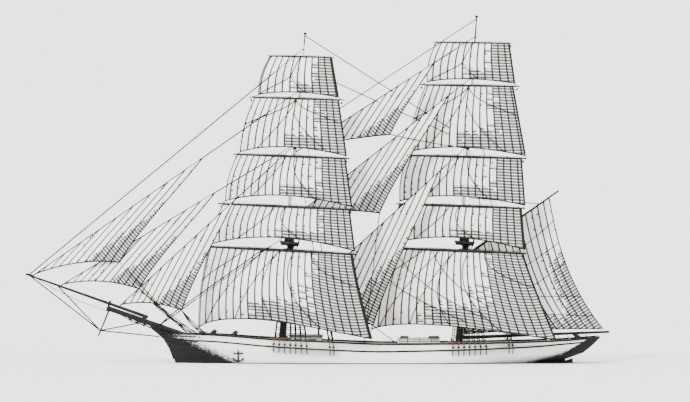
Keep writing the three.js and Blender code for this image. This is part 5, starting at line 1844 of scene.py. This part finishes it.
@dataclass
class PinRails:
    """Pin rails, stanchions and coils inside the bulwarks and round the masts."""

    stanchions: int = 22
    rails: tuple[tuple[float, float], ...] = ((6.6, 4.0), (-5.2, -7.8), (10.4, 9.0), (-9.2, -10.6))
    corners: tuple[tuple[float, float], ...] = ((0.65, 0.6), (-0.65, 0.6), (-0.65, -0.6), (0.65, -0.6))

    def dress(self) -> None:
        """Build the pieces."""
        draft = Draft("pin_rails")
        pins = Repeats("belaying_pins", Finish.black, 0.014, 0.34, 0.024, slot=Slot.DARK)
        posts = Repeats("bulwark_stanchions", Finish.bulwark, 0.06, 0.72, 0.05, 4, Slot.BULWARK)
        coils = Ropes("coils", 0.025, material=Finish.manila)
        bulwark = Seats("bulwark_port")
        for x in [mix(-13.2, 11.6, t) for t in shares(self.stanchions - 1)]:
            place = bulwark.inside(x, along(SHEER, x) - 0.45) - vec(0, 0.06, 0.4)
            posts.places += [(place * vec(1, side, 1), UP) for side in SIDES]
        for start, end in self.rails:
            places = [mix(start, end, t) for t in shares(8)]
            port = [bulwark.inside(x, along(SHEER, x) - 0.22) - vec(0, 0.09, 0) for x in places]
            for side, line in ((1, port), (-1, mirrored(port))):
                for a, b in zip(line, line[1:]):
                    draft.bar(a, b, 0.06, Finish.oak, sides=4)
                pins.places += [(p - UP * 0.14, UP) for p in line[1:-1]]
                for p in line[1:-1:2]:
                    centre = p - vec(0, side * 0.08, 0.2)
                    coils.add([centre + vec(0.1 * math.cos(a), 0, 0.16 * math.sin(a)) for a in turns(10)], True)
        for mast in MASTS:
            foot = mast.at(-LOWER_MAST_AFT, 0, 1.2)
            rail = HULL.top(foot.x + 0.7, 0.6, 2.6).z + 0.85
            corners = [vec(foot.x + x, y, rail) for x, y in self.corners]
            for a, b in ((corners[0], corners[1]), (corners[2], corners[3]), (corners[1], corners[2])):
                draft.bar(a, b, 0.055, Finish.oak, sides=4)
                pins.places += [(a.lerp(b, t) - UP * 0.17, UP) for t in shares(5)[1:-1]]
            for corner in corners:
                draft.bar(HULL.top(corner.x, corner.y, 2.6), corner + UP * 0.12, 0.07, Finish.oak, 0.06, 8)
        draft.finish(Slot.DARK)
        for group in (coils, pins, posts):
            group.finish()


# Stage


def stage_scene() -> None:
    """Set the floor, the light and the camera."""
    mesh = bpy.data.meshes.new("floor")
    mesh.from_pydata([(-1500, -1500, 0), (1500, -1500, 0), (1500, 1500, 0), (-1500, 1500, 0)], [], [(0, 1, 2, 3)])
    mesh.materials.append(Shader("studio_floor").finish((0.82, 0.82, 0.82, 1), 1.0, 0.0))
    placed("floor", mesh)
    world = bpy.data.worlds.new("studio")
    world.use_nodes = True
    world.node_tree.nodes["Background"].inputs["Color"].default_value = (1, 1, 1, 1)
    world.node_tree.nodes["Background"].inputs["Strength"].default_value = 3.0
    bpy.context.scene.world = world
    for name, strength, angle, turn in (("key", 3.0, 10, (52, 0, 150)), ("fill", 0.5, 40, (65, 0, 215))):
        light = bpy.data.lights.new(name, "SUN")
        light.energy = strength
        light.angle = math.radians(angle)
        placed(name, light).rotation_euler = [math.radians(a) for a in turn]
    distance, breadth = 420, 46
    camera = bpy.data.cameras.new("camera")
    camera.sensor_width = 36
    camera.lens = camera.sensor_width * distance / breadth
    camera.clip_end = 4000
    eye = placed("camera", camera)
    eye.location = (1.867, distance, 10.787)
    eye.rotation_euler = (math.radians(90), 0, math.radians(180))
    bpy.context.scene.camera = eye


def frame_finish(name: str) -> Material:
    """Return the finish of one of the frame's nodes.

    Args:
        name: the node.

    Returns:
        Its finish.
    """
    for endings, material in (
            (("hull",), Finish.hull), (("bulwark_port", "bulwark_starboard"), Finish.bulwark),
            (("stay", "stays", "shrouds"), Finish.rope),
            (("yard", "boom", "gaff", "bowsprit", "martingale"), Finish.spar), (("mast",), Finish.mast),
            (("deckhouse", "cabin_skylight", "main_hatch", "ships_boat"), Finish.joinery),
            (("deckhouse_roof",), Finish.roof),
            (("deckhouse_door", "steering_wheel", "wheel_box", "windlass"), Finish.oak)):
        if name.endswith(endings):
            return material
    return Finish.black


def main() -> None:
    """Build the ship's dressing."""
    logging.basicConfig(level=logging.INFO)
    stage_scene()
    for name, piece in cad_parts.items():
        for slot in piece.material_slots:
            slot.material = frame_finish(name)
    cloths = {f"{mast.name}_{key}": mast.square_cloth(key) for mast in MASTS for key in mast.yards}
    cloths |= {name: sail.cloth(name) for name, sail in STAYSAILS.items()}
    cloths["spanker"] = SPANKER.cloth()
    for cloth in cloths.values():
        cloth.build()
    SailGear().dress(cloths)
    for mast in MASTS:
        YardGear(mast).dress(cloths)
    for part in (StandingRigging(), HullFittings(), HeadGear(), SpankerGear(), Deckhouse(), Boat(),
                 HatchAndSkylight(), WindlassAndWheel(), PinRails()):
        part.dress()


if __name__ == "__main__":
    main()
